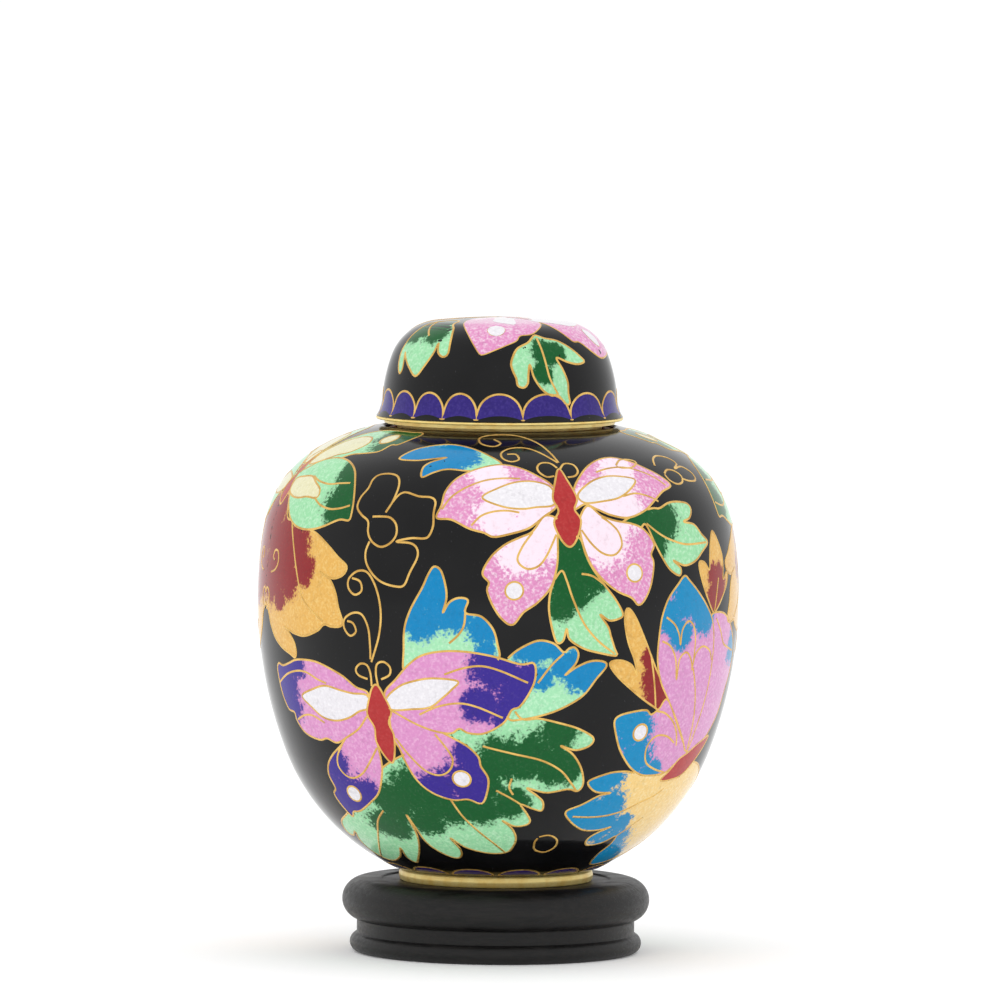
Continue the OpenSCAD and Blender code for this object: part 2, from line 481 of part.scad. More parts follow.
module lappet_arch(grow) intersection() {
    scale([1, lappet_h / lappet_w]) circle(lappet_w + grow, $fn = 24);
    translate([-20, 0.6 - grow]) square([40, 20]);
}
module lappet_row(depth) for (i = [0:lappets - 1])
    on_jar([360 / lappets * (i + 0.5), belly_z + 0.1]) push(depth) children();
module foot_lappet_enamel() color("#5b4fa8") jar_fill()
    lappet_row(5) lappet_arch(-wire_w / 2 - fit);
module foot_lappet_wires() color("#d9b36a") jar_wire() lappet_row(5) difference() {
    lappet_arch(wire_w / 2);
    lappet_arch(-wire_w / 2);
}

// ---- jar enamels and their wires ----
module ground_enamel() color("#1c1c1f") difference() {
    jar_layer(0, -enamel_t);
    pink_shadow();
    violet_shadow();
    blue_shadow();
    green_shadow();
    spray_shadow();
    mid_shadow();
    low_shadow();
    bud_shadow();
    lily_shadow();
    lappet_row(5) lappet_arch(wire_w / 2 + fit);
}
module pink_butterfly_wings() color("#d85a6a") jar_fill()
    on_jar(pink_panel) push() fill("wing", pink_shapes, pink_spots);
module pink_butterfly_cells() color("#ece6da") jar_fill() on_jar(pink_panel) push() {
    fill("cell", pink_shapes);
    spot_fill(pink_spots);
}
module pink_butterfly_body() color("#a8332f") jar_fill()
    on_jar(pink_panel) push() fill("body", pink_shapes);
module pink_butterfly_wires() color("#d9b36a") jar_wire()
    on_jar(pink_panel) push() wires("insect", pink_shapes, pink_spots);
module violet_butterfly_wings() color("#9a6bc0") jar_fill()
    on_jar(violet_panel) push() fill("wing", violet_shapes, violet_spots);
module violet_butterfly_cells() color("#ece6da") jar_fill() on_jar(violet_panel) push() {
    fill("cell", violet_shapes);
    spot_fill(violet_spots);
}
module violet_butterfly_body() color("#a8332f") jar_fill()
    on_jar(violet_panel) push() fill("body", violet_shapes);
module violet_butterfly_wires() color("#d9b36a") jar_wire()
    on_jar(violet_panel) push() wires("insect", violet_shapes, violet_spots);
module green_butterfly_wings() color("#5f9c63") jar_fill() difference() {
    union() {
        on_jar(green_panel) push() fill("wing", green_wings, green_spots);
        on_jar(far_green_panel) push() fill("wing", far_green_wings, far_green_spots);
    }
    green_body_shadow();
}
module green_butterfly_cells() color("#ece6da") jar_fill() difference() {
    union() {
        on_jar(green_panel) push() {
            fill("cell", green_wings);
            spot_fill(green_spots);
        }
        on_jar(far_green_panel) push() {
            fill("cell", far_green_wings);
            spot_fill(far_green_spots);
        }
    }
    green_body_shadow();
}
module green_butterfly_body() color("#8c2c2a") jar_fill()
    on_jar(green_panel) push() fill("body", green_body);
module green_butterfly_wires() color("#d9b36a") jar_wire() {
    difference() {
        union() {
            on_jar(green_panel) push() wires("insect", green_wings, green_spots);
            on_jar(far_green_panel) push()
                wires("insect", far_green_wings, far_green_spots);
        }
        green_body_shadow();
    }
    on_jar(green_panel) push() wires("insect", green_body);
}
module blue_butterfly_wings() color("#4a7fc4") jar_fill()
    on_jar(blue_panel) push() fill("wing", blue_shapes, blue_spots);
module blue_butterfly_spots() color("#ece6da") jar_fill() on_jar(blue_panel) push() spot_fill(blue_spots);
module blue_butterfly_body() color("#a8332f") jar_fill()
    on_jar(blue_panel) push() fill("body", blue_shapes);
module blue_butterfly_wires() color("#d9b36a") jar_wire()
    on_jar(blue_panel) push() wires("insect", blue_shapes, blue_spots);
module gold_lily_enamel() color("#d9a93a") jar_fill() difference() {
    union() {
        intersection() {
            on_jar(lily_panel) push() fill("lily", lily_shapes);
            beside(1);
        }
        intersection() {
            on_jar(far_lily_panel) push() fill("lily", far_lily_shapes);
            beside(-1);
        }
    }
    green_shadow();
    violet_shadow();
}
module gold_lily_wires() color("#d9b36a") jar_wire() difference() {
    union() {
        intersection() {
            on_jar(lily_panel) push() wires("lily", lily_shapes);
            beside(1);
        }
        intersection() {
            on_jar(far_lily_panel) push() wires("lily", far_lily_shapes);
            beside(-1);
        }
    }
    green_shadow();
    violet_shadow();
}
module leaf_spray_enamel() color("#4f9468") jar_fill() difference() {
    on_jar(spray_panel) push() fill("spray", spray_shapes);
    violet_shadow();
    mid_shadow();
}
module green_leaf_enamel() color("#3f8a5c") jar_fill()
    on_jar(pink_panel) push() fill("green_leaf", pink_shapes);
module blue_leaf_enamel() color("#3f6fae") jar_fill() {
    on_jar(pink_panel) push() fill("blue_leaf", pink_shapes);
    on_jar(violet_panel) push() fill("blue_leaf", violet_shapes);
    difference() {
        on_jar(mid_panel) push() fill("blue_leaf", mid_shapes);
        violet_shadow();
        pink_shadow();
    }
    difference() {
        on_jar(low_panel) push() fill("blue_leaf", low_shapes);
        blue_shadow();
    }
}
module red_leaf_enamel() color("#c1442e") jar_fill() {
    on_jar(blue_panel) push() fill("red_leaf", blue_shapes);
    difference() {
        on_jar(bud_panel) push() fill("red_leaf", bud_shapes);
        blue_shadow();
        pink_shadow();
    }
}
module leaf_spray_wires() color("#d9b36a") jar_wire() difference() {
    on_jar(spray_panel) push() wires("spray", spray_shapes);
    violet_shadow();
    mid_shadow();
}
module green_leaf_wires() color("#d9b36a") jar_wire()
    on_jar(pink_panel) push() wires("green_leaf", pink_shapes);
module blue_leaf_wires() color("#d9b36a") jar_wire() {
    on_jar(pink_panel) push() wires("blue_leaf", pink_shapes);
    on_jar(violet_panel) push() wires("blue_leaf", violet_shapes);
    difference() {
        on_jar(mid_panel) push() wires("blue_leaf", mid_shapes);
        violet_shadow();
        pink_shadow();
    }
    difference() {
        on_jar(low_panel) push() wires("blue_leaf", low_shapes);
        blue_shadow();
    }
}
module red_leaf_wires() color("#d9b36a") jar_wire() {
    on_jar(blue_panel) push() wires("red_leaf", blue_shapes);
    difference() {
        on_jar(bud_panel) push() wires("red_leaf", bud_shapes);
        blue_shadow();
        pink_shadow();
    }
}

// ---- lid ----
module on_crown() translate([0, 0, crown_z]) children();
module crown_shadow() on_crown() push(10) shadow(crown_shapes);
module near_leaves() for (turn = [0, 125]) rotate([0, 0, turn]) on_lid(near_leaf_panel)
    push(12) children();
module far_leaves() for (turn = [0, -90]) rotate([0, 0, turn]) on_lid(far_leaf_panel)
    push(12) children();
module scallop_arch(half, grow) intersection() {
    scale([half + grow, scallop_h + grow]) circle(1, $fn = 24);
    translate([-20, 0.5 - grow]) square([40, 20]);
}
module scallop_row() for (i = [0:len(scallop_edges) - 2]) {
    middle = (scallop_edges[i] + scallop_edges[i + 1]) / 2;
    half = skirt_r * sin((scallop_edges[i + 1] - scallop_edges[i]) / 2) - wire_w / 2 - 0.05;
    on_lid([middle, skirt_z]) translate([0, lid_z - skirt_z]) push(7) {
        if ($part == "fill") scallop_arch(half, -wire_w / 2 - fit);
        if ($part == "shadow") scallop_arch(half, wire_w / 2 + fit);
        if ($part == "wire") difference() {
            scallop_arch(half, wire_w / 2);
            scallop_arch(half, -wire_w / 2);
        }
    }
}
module lid_copper() color("#b4774a") lid_layer(copper_out, copper_in);
module lid_rim() color("#c9a45c") ring(24.4, 27.5, rim_z, lid_z - gap);
module lid_lining_enamel() color("#2a9fc0") lid_layer(lining_out, lining_in);
module lid_ground_enamel() color("#1c1c1f") difference() {
    lid_layer(0, -enamel_t);
    scallop_row($part = "shadow");
    crown_shadow();
    near_leaves() shadow(near_leaf_shapes);
    far_leaves() shadow(far_leaf_shapes);
}
module lid_scallop_enamel() color("#5b4fa8") lid_fill() scallop_row($part = "fill");
module lid_scallop_wires() color("#d9b36a") lid_wire() scallop_row($part = "wire");
module lid_butterfly_wings() color("#d85a6a") lid_fill()
    on_crown() push(10) fill("wing", crown_shapes, crown_spots);
module lid_butterfly_cells() color("#ece6da") lid_fill() on_crown() push(10) {
    fill("cell", crown_shapes);
    spot_fill(crown_spots);
}
module lid_butterfly_body() color("#a8332f") lid_fill()
    on_crown() push(10) fill("body", crown_shapes);
module lid_butterfly_wires() color("#d9b36a") lid_wire()
    on_crown() push(10) wires("insect", crown_shapes, crown_spots);
module lid_leaf_enamel() color("#3f8a5c") lid_fill() difference() {
    union() {
        near_leaves() fill("leaf", near_leaf_shapes);
        far_leaves() fill("leaf", far_leaf_shapes);
    }
    crown_shadow();
    scallop_row($part = "shadow");
}
module lid_leaf_wires() color("#d9b36a") lid_wire() difference() {
    union() {
        near_leaves() wires("leaf", near_leaf_shapes);
        far_leaves() wires("leaf", far_leaf_shapes);
    }
    crown_shadow();
    scallop_row($part = "shadow");
}

stand();
foot_ring();
copper_lower_shell();
copper_upper_shell();
neck_collar();
mouth_rim();
lining_enamel();
base_enamel();
neck_enamel();
ground_enamel();
foot_lappet_enamel();
foot_lappet_wires();
pink_butterfly_wings();
pink_butterfly_cells();
pink_butterfly_body();
pink_butterfly_wires();
violet_butterfly_wings();
violet_butterfly_cells();
violet_butterfly_body();
violet_butterfly_wires();
green_butterfly_wings();
green_butterfly_cells();
green_butterfly_body();
green_butterfly_wires();
blue_butterfly_wings();
blue_butterfly_spots();
blue_butterfly_body();
blue_butterfly_wires();
gold_lily_enamel();
gold_lily_wires();
leaf_spray_enamel();
leaf_spray_wires();
green_leaf_enamel();
green_leaf_wires();
blue_leaf_enamel();
blue_leaf_wires();
red_leaf_enamel();
red_leaf_wires();
lid_copper();
lid_rim();
lid_lining_enamel();
lid_ground_enamel();
lid_scallop_enamel();
lid_scallop_wires();
lid_butterfly_wings();
lid_butterfly_cells();
lid_butterfly_body();
lid_butterfly_wires();
lid_leaf_enamel();
lid_leaf_wires();
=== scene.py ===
"""Cloisonne ginger jar on a turned stand: looks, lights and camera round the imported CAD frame."""

import math

import bpy
import numpy as np
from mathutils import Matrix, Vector
from mathutils.geometry import delaunay_2d_cdt


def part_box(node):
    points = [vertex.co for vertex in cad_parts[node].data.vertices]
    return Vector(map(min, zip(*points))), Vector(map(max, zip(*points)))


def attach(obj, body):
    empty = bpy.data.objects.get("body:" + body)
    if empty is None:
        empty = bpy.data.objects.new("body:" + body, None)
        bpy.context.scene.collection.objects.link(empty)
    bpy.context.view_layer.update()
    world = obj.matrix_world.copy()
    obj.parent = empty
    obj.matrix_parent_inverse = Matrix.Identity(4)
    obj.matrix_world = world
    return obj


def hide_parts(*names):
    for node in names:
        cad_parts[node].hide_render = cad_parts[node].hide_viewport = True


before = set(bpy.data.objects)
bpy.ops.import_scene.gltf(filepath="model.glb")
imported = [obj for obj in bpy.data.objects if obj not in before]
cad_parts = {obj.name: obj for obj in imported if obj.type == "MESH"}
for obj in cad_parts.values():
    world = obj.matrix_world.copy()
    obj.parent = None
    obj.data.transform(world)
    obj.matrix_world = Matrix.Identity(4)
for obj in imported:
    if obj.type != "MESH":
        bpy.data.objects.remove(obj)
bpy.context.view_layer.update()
MM = 0.001
BACK = 180
UNSEEN = 1e6

# ---- sizes shared with the CAD, in millimetres ----
STAND_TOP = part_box("stand")[1][2] / MM
FOOT_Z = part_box("foot_ring")[0][2] / MM
BODY_START, BODY_SLOPE = (21.7, FOOT_Z + 2.6), 23
BODY_ARCS = [(46.7, 68.6), (94.3, 99.8), (24.5, 149), (43.9, 173)]
RIM_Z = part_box("lid_rim")[0][2] / MM
LID_Z = RIM_Z + 0.75
LID_START, LID_SLOPE = (27.4, LID_Z), 124.5
LID_SIDES = [(-7.4, 93.4), (33.9, 110.2), (11.8, 174.4)]
GROUND_T = 0.7
SEAT_R = 25.6
NECK_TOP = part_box("mouth_rim")[1][2] / MM
WIRE_W, WIRE_PROUD = 0.5, 0.08
SPOT_R = 1.9
MIRROR_AZ = -74
BELLY_Z = 60
LAPPETS, LAPPET_W, LAPPET_H, LAPPET_BASE = 14, 4.6, 4.2, 0.6
SCALLOP_POWER = 2.4
SKIRT_R, SCALLOP_H, SCALLOP_Z = 26, 5.6, LID_Z + 0.5
# Where the scallops of the lid's border meet, in degrees from the front.
SCALLOP_EDGES = [
    -100, -81, -63, -45, -28, -11, 11, 36, 59, 81, 103, 125, 147, 169, 191, 213, 237, 260
]

# ---- fineness of the meshes, in millimetres ----
TURN_STEPS = 192
CORNER_STEPS = 5
PATCH_STEP = 1.1
# Rows of inner points, and their least distance from an outline, in patch steps
ROW_STEP, CLEARANCE = 0.87, 0.35
WIRE_STEP = 0.6
ARCH_POINTS = 22
LIFT = 0.012
SKIRT_LIFT = 0.045
CROWN_LIFT = 0.055
LAYER = 0.004
# How far a panel looks for the surface: above itself, below itself, in steps that are then halved.
DEPTH_ABOVE, REACH, DEPTH_STEP, HALVINGS = 2.0, 26.0, 0.5, 22
# Above the lid's edge: where the dome is read from, and where the crown's drawing hides a leaf.
CROWN_RISE, CROWN_REACH = 6, 8

# ---- ornament ----
# A panel is a plane that touches the jar, [azimuth from the front, height]. Outlines on it are
# [across, up] from the touching point, and a shape lies in front of those listed after it.
PINK_SHAPES = [
    ["body", [[1.2, 16.5], [2.5, 13.5], [3.8, 9.5], [2.9, 7], [4.1, 4.5], [2.9, 0.5],
      [1.2, -1.3], [-0.7, 0.3], [-2.1, 4], [-0.8, 6.7], [-1.7, 9.5], [-0.6, 13]]],
    ["cell", [[-1.6, 8.2], [-5.7, 7.6], [-9, 7.3], [-13, 8], [-16.8, 10.2], [-13, 12.3],
      [-9, 13.5], [-5, 13.5], [-1.6, 12]]],
    ["cell", [[4.2, 10.4], [7.7, 13.3], [11.7, 14.7], [15.7, 14.8], [19, 14.1],
      [17.3, 11.9], [14, 9.8], [10, 8.9], [5.5, 8.5]]],
    ["wing", [[-1.2, 12.3], [-4.3, 15], [-7.7, 17], [-11.7, 17.8], [-17, 16.8],
      [-21.3, 14.8], [-24, 12], [-25.2, 9], [-26.5, 6.2], [-23.7, 5.6], [-20.3, 3.4],
      [-17.3, 2.3], [-15.3, 1.3], [-11.5, 1.9], [-7.7, 3], [-4.3, 5.4], [-1, 8]]],
    ["wing", [[3.4, 11], [4.5, 13.3], [7.5, 16.6], [11, 18.7], [15, 19.5], [19, 18.7],
      [23, 17], [26.3, 15.3], [28.4, 13.3], [25.7, 11.7], [23.3, 9.7], [20, 7],
      [15.7, 5.3], [11.7, 5.7], [8.3, 7], [5.5, 8.2], [3, 7.2]]],
    ["wing", [[-1.5, 1], [-1.6, -2.7], [-2, -6], [-3.3, -10], [-6.3, -13.3],
      [-9.3, -15.3], [-11.6, -17.9], [-13.8, -16.7], [-15.8, -13.7], [-17, -10.3],
      [-16.6, -8.6], [-17.9, -6.5], [-16, -3], [-13, -0.5], [-9.7, 1], [-7, 2.2],
      [-4, 5.6], [-1, 4.5]]],
    ["wing", [[3.6, 4.3], [6, 7.8], [9, 5.6], [12.3, 4.5], [16.3, 3.9], [19.3, 2.7],
      [21.7, -0.3], [20.9, -2.7], [21.5, -4.7], [20.7, -9.3], [19, -12.7],
      [17.4, -13.8], [15.7, -12.3], [12.3, -11], [9, -8.7], [6.3, -5.7], [4.7, -2.3],
      [3.8, 1.3]]],
    ["green_leaf", [[1, 1], [-1.6, 0], [-1.7, -4], [-2.5, -8.3], [-3.5, -11.5],
      [-3.7, -15.3], [-2.7, -20], [-1.7, -22.1], [-0.4, -21.5], [0.3, -19], [1, -21.3],
      [4.3, -23.3], [8.3, -24.3], [12.2, -24.8], [11.7, -23.3], [10.7, -20.7],
      [10, -18.7], [8, -16], [10.3, -17.3], [13, -16.7], [13.5, -15.6], [11.7, -12.7],
      [9, -9.5], [6.3, -6], [4.7, -2.7], [3.6, 0.5]]],
    ["green_leaf", [[14, 4], [18.5, 6.5], [22, 7.6], [24, 7.7], [26.5, 9], [29, 9.5],
      [32, 9.3], [33, 8], [32.2, 6], [30.3, 5], [33.3, 4.6], [35.5, 2.6], [37.3, 1],
      [35.6, -1.1], [33.2, -3.5], [30, -4.7], [26.8, -3.8], [28.9, -5.4], [28.5, -7],
      [26, -5.9], [24, -3.5], [21.9, 0], [19.8, 3.9], [18, 2.8]]],
    ["blue_leaf", [[-30.5, 20.8], [-27, 22.7], [-23, 23.5], [-19, 23.5], [-15.7, 22.3],
      [-13, 20.3], [-11, 18], [-14, 17], [-18, 16.6], [-22.3, 17.3], [-25.3, 16.7],
      [-27.8, 15.8], [-27, 18], [-25, 19.3], [-21.6, 20.2], [-24.3, 20.1],
      [-27.7, 20]]]
]
PINK_STRANDS = [
    ["wing", [[-25.3, 8], [-23, 10.7], [-19.7, 12.7], [-15.7, 14.1], [-11.7, 14.5],
      [-8, 14.3]]],
    ["wing", [[-19.8, 4], [-17.7, 6], [-15, 6.9], [-12, 7], [-9.5, 6.5]]],
    ["wing", [[9.7, 15.7], [13, 16.7], [17, 17.1], [21, 16.3], [24.3, 15], [27, 13.2]]],
    ["wing", [[15, 10.1], [18.3, 10.9], [21.7, 10.3], [24, 9.3]]],
    ["wing", [[-7, 2], [-9.3, -1], [-10.5, -4], [-8.6, -5.9], [-6, -5.4], [-4, -3],
      [-1.8, 1.4]]],
    ["wing", [[9, 5.3], [11.3, 3.7], [13, 1.7], [13.5, -1], [11.7, -3], [9, -2.8],
      [6.3, -0.7], [4, 2.4]]],
    ["wing", [[-0.3, 14.8], [-2, 14.6], [-3.4, 15.7], [-3.5, 17], [-2.3, 18],
      [-0.3, 17.9], [0.9, 16.7]]],
    ["wing", [[2.7, 14.5], [4.5, 14.8], [5.5, 16], [4.9, 17.5], [2.9, 17.8],
      [1.5, 16.5]]],
    ["wing", [[1.5, 18], [-1.7, 20.7], [-4.3, 21.9], [-7.5, 21.9], [-10, 20.8],
      [-10.2, 19.3], [-8.7, 18.5], [-6.9, 19], [-7, 20.3], [-8.9, 20.4]]],
    ["wing", [[1.7, 18], [0.7, 20.7], [-1, 23.3], [-4.3, 25.3], [-9, 25.7], [-12.5, 25],
      [-13.1, 23.4], [-11, 22.5], [-9, 23.3], [-9.8, 24.4]]],
    ["green_leaf", [[-2.4, -8.3], [-0.8, -6.5], [0.3, -8.7], [1.7, -12.7], [4.3, -18],
      [7.7, -21.7], [11.7, -24.4]]],
    ["green_leaf", [[3.7, -7.2], [6.3, -7.7], [9, -9.5]]],
    ["green_leaf", [[20.1, 4.1], [23.4, 1.9], [26.8, 0.6], [31, 0], [36.8, 0.9]]]
]
VIOLET_SHAPES = [
    ["body", [[-3.9, 5.8], [-2.4, 3.4], [-1, 0], [-1.9, -2.7], [-1, -5.5], [-1.4, -9.5],
      [-2.4, -12.1], [-4, -10.7], [-5.7, -7.3], [-5.7, -4], [-7.2, -1], [-6.3, 2.7],
      [-5.2, 5.3]]],
    ["cell", [[-1.8, 3], [1.3, 5.7], [4.7, 7], [9.3, 7.7], [14.8, 6.9], [13.3, 5],
      [11.3, 3.3], [8.3, 1.2], [4, 0.7], [-1, 0.5]]],
    ["cell", [[-6.8, 3.3], [-10.7, 3.4], [-14, 3.7], [-18.4, 4.1], [-22.3, 2.7],
      [-26.3, 0.3], [-23.4, -1.7], [-20.1, -3.4], [-16.2, -3.6], [-12.3, -2.4],
      [-9.3, -0.6], [-6.9, 0.4]]],
    ["wing", [[-2.2, 4.2], [0.7, 7.3], [4, 10.7], [7.3, 12.8], [12, 13.6], [17.3, 13.2],
      [22.7, 11.7], [27.5, 9.5], [30, 9.3], [30.1, 6], [28.7, 2.7], [26.7, 0],
      [25.2, -0.5], [23.3, -3.3], [19.3, -5.3], [16, -5], [14.2, -3.9], [12.3, -4.9],
      [8.7, -4.3], [4.7, -2.7], [0, -0.2], [-1.4, 0.6]]],
    ["wing", [[-6.5, 3.8], [-9.6, 4.9], [-12.9, 6.9], [-16.2, 8.1], [-20.1, 9],
      [-23.4, 9], [-27.3, 8.3], [-30.1, 6.9], [-32.6, 5.7], [-34.4, 5.7],
      [-35.1, 4.1], [-34.6, 0.8], [-33.7, -2], [-32.1, -4.3], [-30, -4.5],
      [-29.4, -6.4], [-26.8, -8.6], [-22.3, -9.2], [-19.8, -8.4], [-16.8, -8.9],
      [-13.4, -7], [-10.1, -4.8], [-8.2, -2.6], [-6.8, -0.5]]],
    ["wing", [[-1.4, -5.5], [-1, 0], [4, -1.8], [8.7, -3.8], [12, -5.7], [15.3, -8],
      [17.3, -10.7], [17.5, -13], [18.5, -16], [17.7, -19.3], [15.9, -22.2],
      [13.3, -21], [10, -21], [6, -19.3], [3, -16.3], [1, -12], [0, -8.7]]],
    ["wing", [[-5.5, -8], [-5.2, -12], [-5.7, -15.3], [-7.6, -19.8], [-10.7, -22.8],
      [-14.7, -25.7], [-17, -26.4], [-18.1, -28], [-19.7, -26.3], [-21.1, -24],
      [-21.5, -22.3], [-20.5, -20.8], [-21.5, -17.7], [-20.8, -14.7], [-18.7, -12],
      [-15.7, -9.3], [-13, -6.3], [-9.5, -3.5], [-6.8, -1.5], [-5.4, -4.5]]],
    ["blue_leaf", [[2.9, 9], [3, 14], [3.3, 18.7], [4.7, 22.7], [7.3, 27.3], [8.5, 30],
      [9.7, 31.6], [11.3, 30.7], [12.5, 27.3], [12.7, 24.7], [12, 21.9], [13.3, 24],
      [15.3, 24.9], [17.3, 24.3], [16.8, 21.7], [20, 20.7], [22.3, 18], [23.2, 14.7],
      [23.2, 11], [18, 10], [12, 10], [6, 9]]]
]
VIOLET_STRANDS = [
    ["wing", [[12, 8.5], [16, 9.7], [20, 9.9], [24, 8.3], [28.7, 5.2]]],
    ["wing", [[5.7, -0.5], [10, 1.3], [14.7, 1.9], [18.7, 0.7], [23.3, -2.1]]],
    ["wing", [[-34.7, 1.2], [-31.2, 4.1], [-27.3, 5.8], [-24, 6.1], [-20.7, 5.2],
      [-18, 4.7]]],
    ["wing", [[-29, -5.9], [-26.2, -4.2], [-23.4, -3.7], [-19.8, -4.7]]],
    ["wing", [[-0.6, -6.2], [2, -10], [5.3, -13.7], [8.3, -14.8], [10.7, -13.7],
      [11.8, -11.3], [11, -8.7], [8.7, -5]]],
    ["wing", [[-15.3, -9], [-17.3, -12], [-17.7, -14.7], [-16, -16.7], [-13.7, -17],
      [-10.7, -15.3], [-8, -12], [-5.8, -8.8]]],
    ["wing", [[-6.3, 7], [-8.7, 7.7], [-9.3, 9], [-8, 10.3], [-6.3, 10.1], [-5.5, 8.3],
      [-5.4, 5.5]]],
    ["wing", [[-2.8, 7.2], [-0.7, 8.3], [-0.5, 10], [-2, 11.1], [-3.7, 10.5],
      [-4.1, 8.3], [-3.7, 5.5]]],
    ["wing", [[-5.1, 10.9], [-3, 16.7], [-2.5, 22], [-3.7, 26.7], [-6, 29.9],
      [-8.7, 30.1], [-11, 28.3], [-11, 26.3], [-9.3, 25.1], [-7.5, 26.1], [-8, 28],
      [-10.1, 28.5]]],
    ["wing", [[-5.3, 11.5], [-5.3, 14.7], [-5.7, 18.3], [-7.3, 21], [-9.7, 21.2],
      [-12, 19.7], [-12.1, 17.7], [-10.5, 16.2], [-8.9, 17.3], [-9.7, 19],
      [-11.2, 19.3]]],
    ["blue_leaf", [[16.8, 21.7], [16.5, 19], [15.3, 17], [13.3, 15.3]]]
]
SPRAY_SHAPES = [
    ["spray", [[9, 20], [12.3, 16.2], [16, 15.7], [20, 14], [24, 11.7], [27, 8.7],
      [26.3, 7], [23.3, 6.8], [20.3, 8.6], [22.7, 6], [24.3, 2], [24.5, -2],
      [23.2, -3.6], [21.3, -2.5], [16.7, -2.3], [12.8, -0.4], [14.7, -2.7],
      [15.9, -4.7], [15.5, -7], [13.8, -6.3], [11.2, -4.6], [12.2, -7.2],
      [12.8, -9.6], [11.8, -10.7], [9.3, -10.7], [6.9, -8.8], [8.7, -11.3],
      [9.3, -14.7], [8, -18], [6.3, -19.3], [2.7, -19.2], [-2, -17.3],
      [-5.1, -14.4], [-3.3, -18], [-3.3, -20.3], [-4.5, -21.5], [-7.3, -20.3],
      [-10.7, -17], [-13, -12], [-14.6, -8.9], [-12.9, -14], [-12.7, -18.7],
      [-13.7, -24], [-14.5, -26], [-16.3, -24.7], [-17.4, -21], [-18, -24.7],
      [-20.3, -28.5], [-23.3, -29], [-26, -27.3], [-27.8, -24], [-28.4, -20.9],
      [-29.3, -23.6], [-31, -23.3], [-31.5, -19.3], [-29, -14], [-25, -6],
      [-18, 4], [-6, 12], [4, 18]]]
]
SPRAY_STRANDS = [
    ["spray", [[3.7, 10.5], [10, 8.4], [16, 6], [20, 2.7], [22, -1], [23, -3.5]]],
    ["spray", [[-4, -3], [-1.7, -7.5], [1.5, -12], [4.5, -16], [6.5, -19.2]]],
    ["spray", [[9.7, 2.4], [9, 0.2], [9.7, -1.8]]],
    ["spray", [[6.1, -0.4], [8.8, -2.4], [11.2, -4.6]]],
    ["spray", [[-20, -9.2], [-21.7, -13], [-22.3, -18], [-22.9, -24], [-23.3, -28.8]]]
]
MID_SHAPES = [
    ["blue_leaf", [[-9.9, 8.1], [-7.2, 10.1], [-3.9, 11.4], [-0.6, 10.7], [1.6, 8.8],
      [2.8, 9.6], [4.1, 9.8], [5, 8.4], [4.4, 6.2], [2.1, 3.7], [4.4, 5.3], [7.8, 6.6],
      [10.8, 6.4], [11.7, 5.3], [9.4, 2.6], [6.7, -0.8], [3.3, -3], [-1.1, -4.9],
      [-6.9, -6.3], [-10, -6], [-11, 0], [-11, 6]]]
]
MID_STRANDS = [
    ["blue_leaf", [[-3.9, 2], [-1.1, 5.9], [1.6, 8.5]]]
]
GREEN_WINGS = [
    ["cell", [[-13, 9], [-12.1, 13.1], [-9, 16.9], [-5.9, 18.6], [-2.1, 18.8],
      [0.4, 17.2], [0.9, 15.3], [-0.9, 12.8], [-4, 11.7], [-9, 9.4]]],
    ["cell", [[-13.4, 4.6], [-9.6, 5.1], [-5.9, 5], [-2.8, 3.4], [0.1, 1.9], [1, 0.3],
      [0.1, -0.5], [-3.4, -0.3], [-7.1, -0.6], [-10.6, 0], [-13.4, 1.7]]],
    ["wing", [[-14.3, 6.3], [-11.5, 7.8], [-7.1, 10], [-2.1, 10.8], [2.9, 10],
      [7.3, 7.8], [10.4, 4.4], [12.6, 0.6], [13.5, -2.5], [13.3, -4.1], [10.7, -4.4],
      [6.6, -6.3], [2.9, -7.4], [-0.9, -7.6], [-4.6, -6.9], [-7.8, -5],
      [-10.6, -1.9], [-12.4, 0.6], [-14, 3.1]]],
    ["wing", [[-13.4, 7.6], [-13.2, 12.5], [-11.5, 15.6], [-8.4, 19.4], [-4, 21.9],
      [1, 22.4], [6, 22.5], [9.1, 22.9], [10.4, 21.9], [10.4, 19.4], [9.8, 17.3],
      [8.4, 16.9], [7.9, 14.3], [4.8, 13.1], [1, 12.2], [-2.1, 10.4], [-7, 9.5],
      [-12, 7]]]
]
GREEN_VEINS = [
    ["wing", [[-5.3, 5.1], [-2.1, 3.9], [2.3, 3.3], [6, 3.9], [9, 4.4]]],
    ["wing", [[-0.3, -0.3], [2.9, -1.9], [6.6, -2.5], [9.8, -1.9], [12.3, -0.8]]]
]
GREEN_BODY = [
    ["body", [[-15.4, 13.6], [-14, 12.8], [-12.9, 10], [-13.7, 6.9], [-13.1, 3.8],
      [-13.7, 0.6], [-15.2, -1.7], [-16.9, -0.6], [-17.8, 2.5], [-16.8, 5.6],
      [-17.8, 8.8], [-17.1, 11.9]]]
]
LILY_SHAPES = [
    ["lily", [[-8, 15], [-5.1, 14.5], [-1, 13.4], [3, 12.8], [6.1, 11.8], [9.9, 9.6],
      [13, 7.4], [15.6, 5.6], [14.9, 3.7], [12.4, 2.7], [9.9, 3.1], [7.9, 3.9],
      [11.1, 2.4], [13, -0.4], [13.9, -3.5], [15.1, -6.6], [14.3, -7.7],
      [11.8, -7.9], [9.6, -7.6], [7.4, -9.1], [3, -10.5], [-0.8, -10.3],
      [-3.3, -9.7], [-5.6, -9.1], [-3.3, -10.4], [-1.4, -12.3], [-0.9, -14.4],
      [-1.7, -15.6], [-3.9, -14.8], [-7, -13.8], [-10.4, -11.9], [-12.9, -9.1],
      [-14.6, -6], [-18, -3], [-18.5, 3], [-18.5, 10], [-18, 17], [-12, 20]]]
]
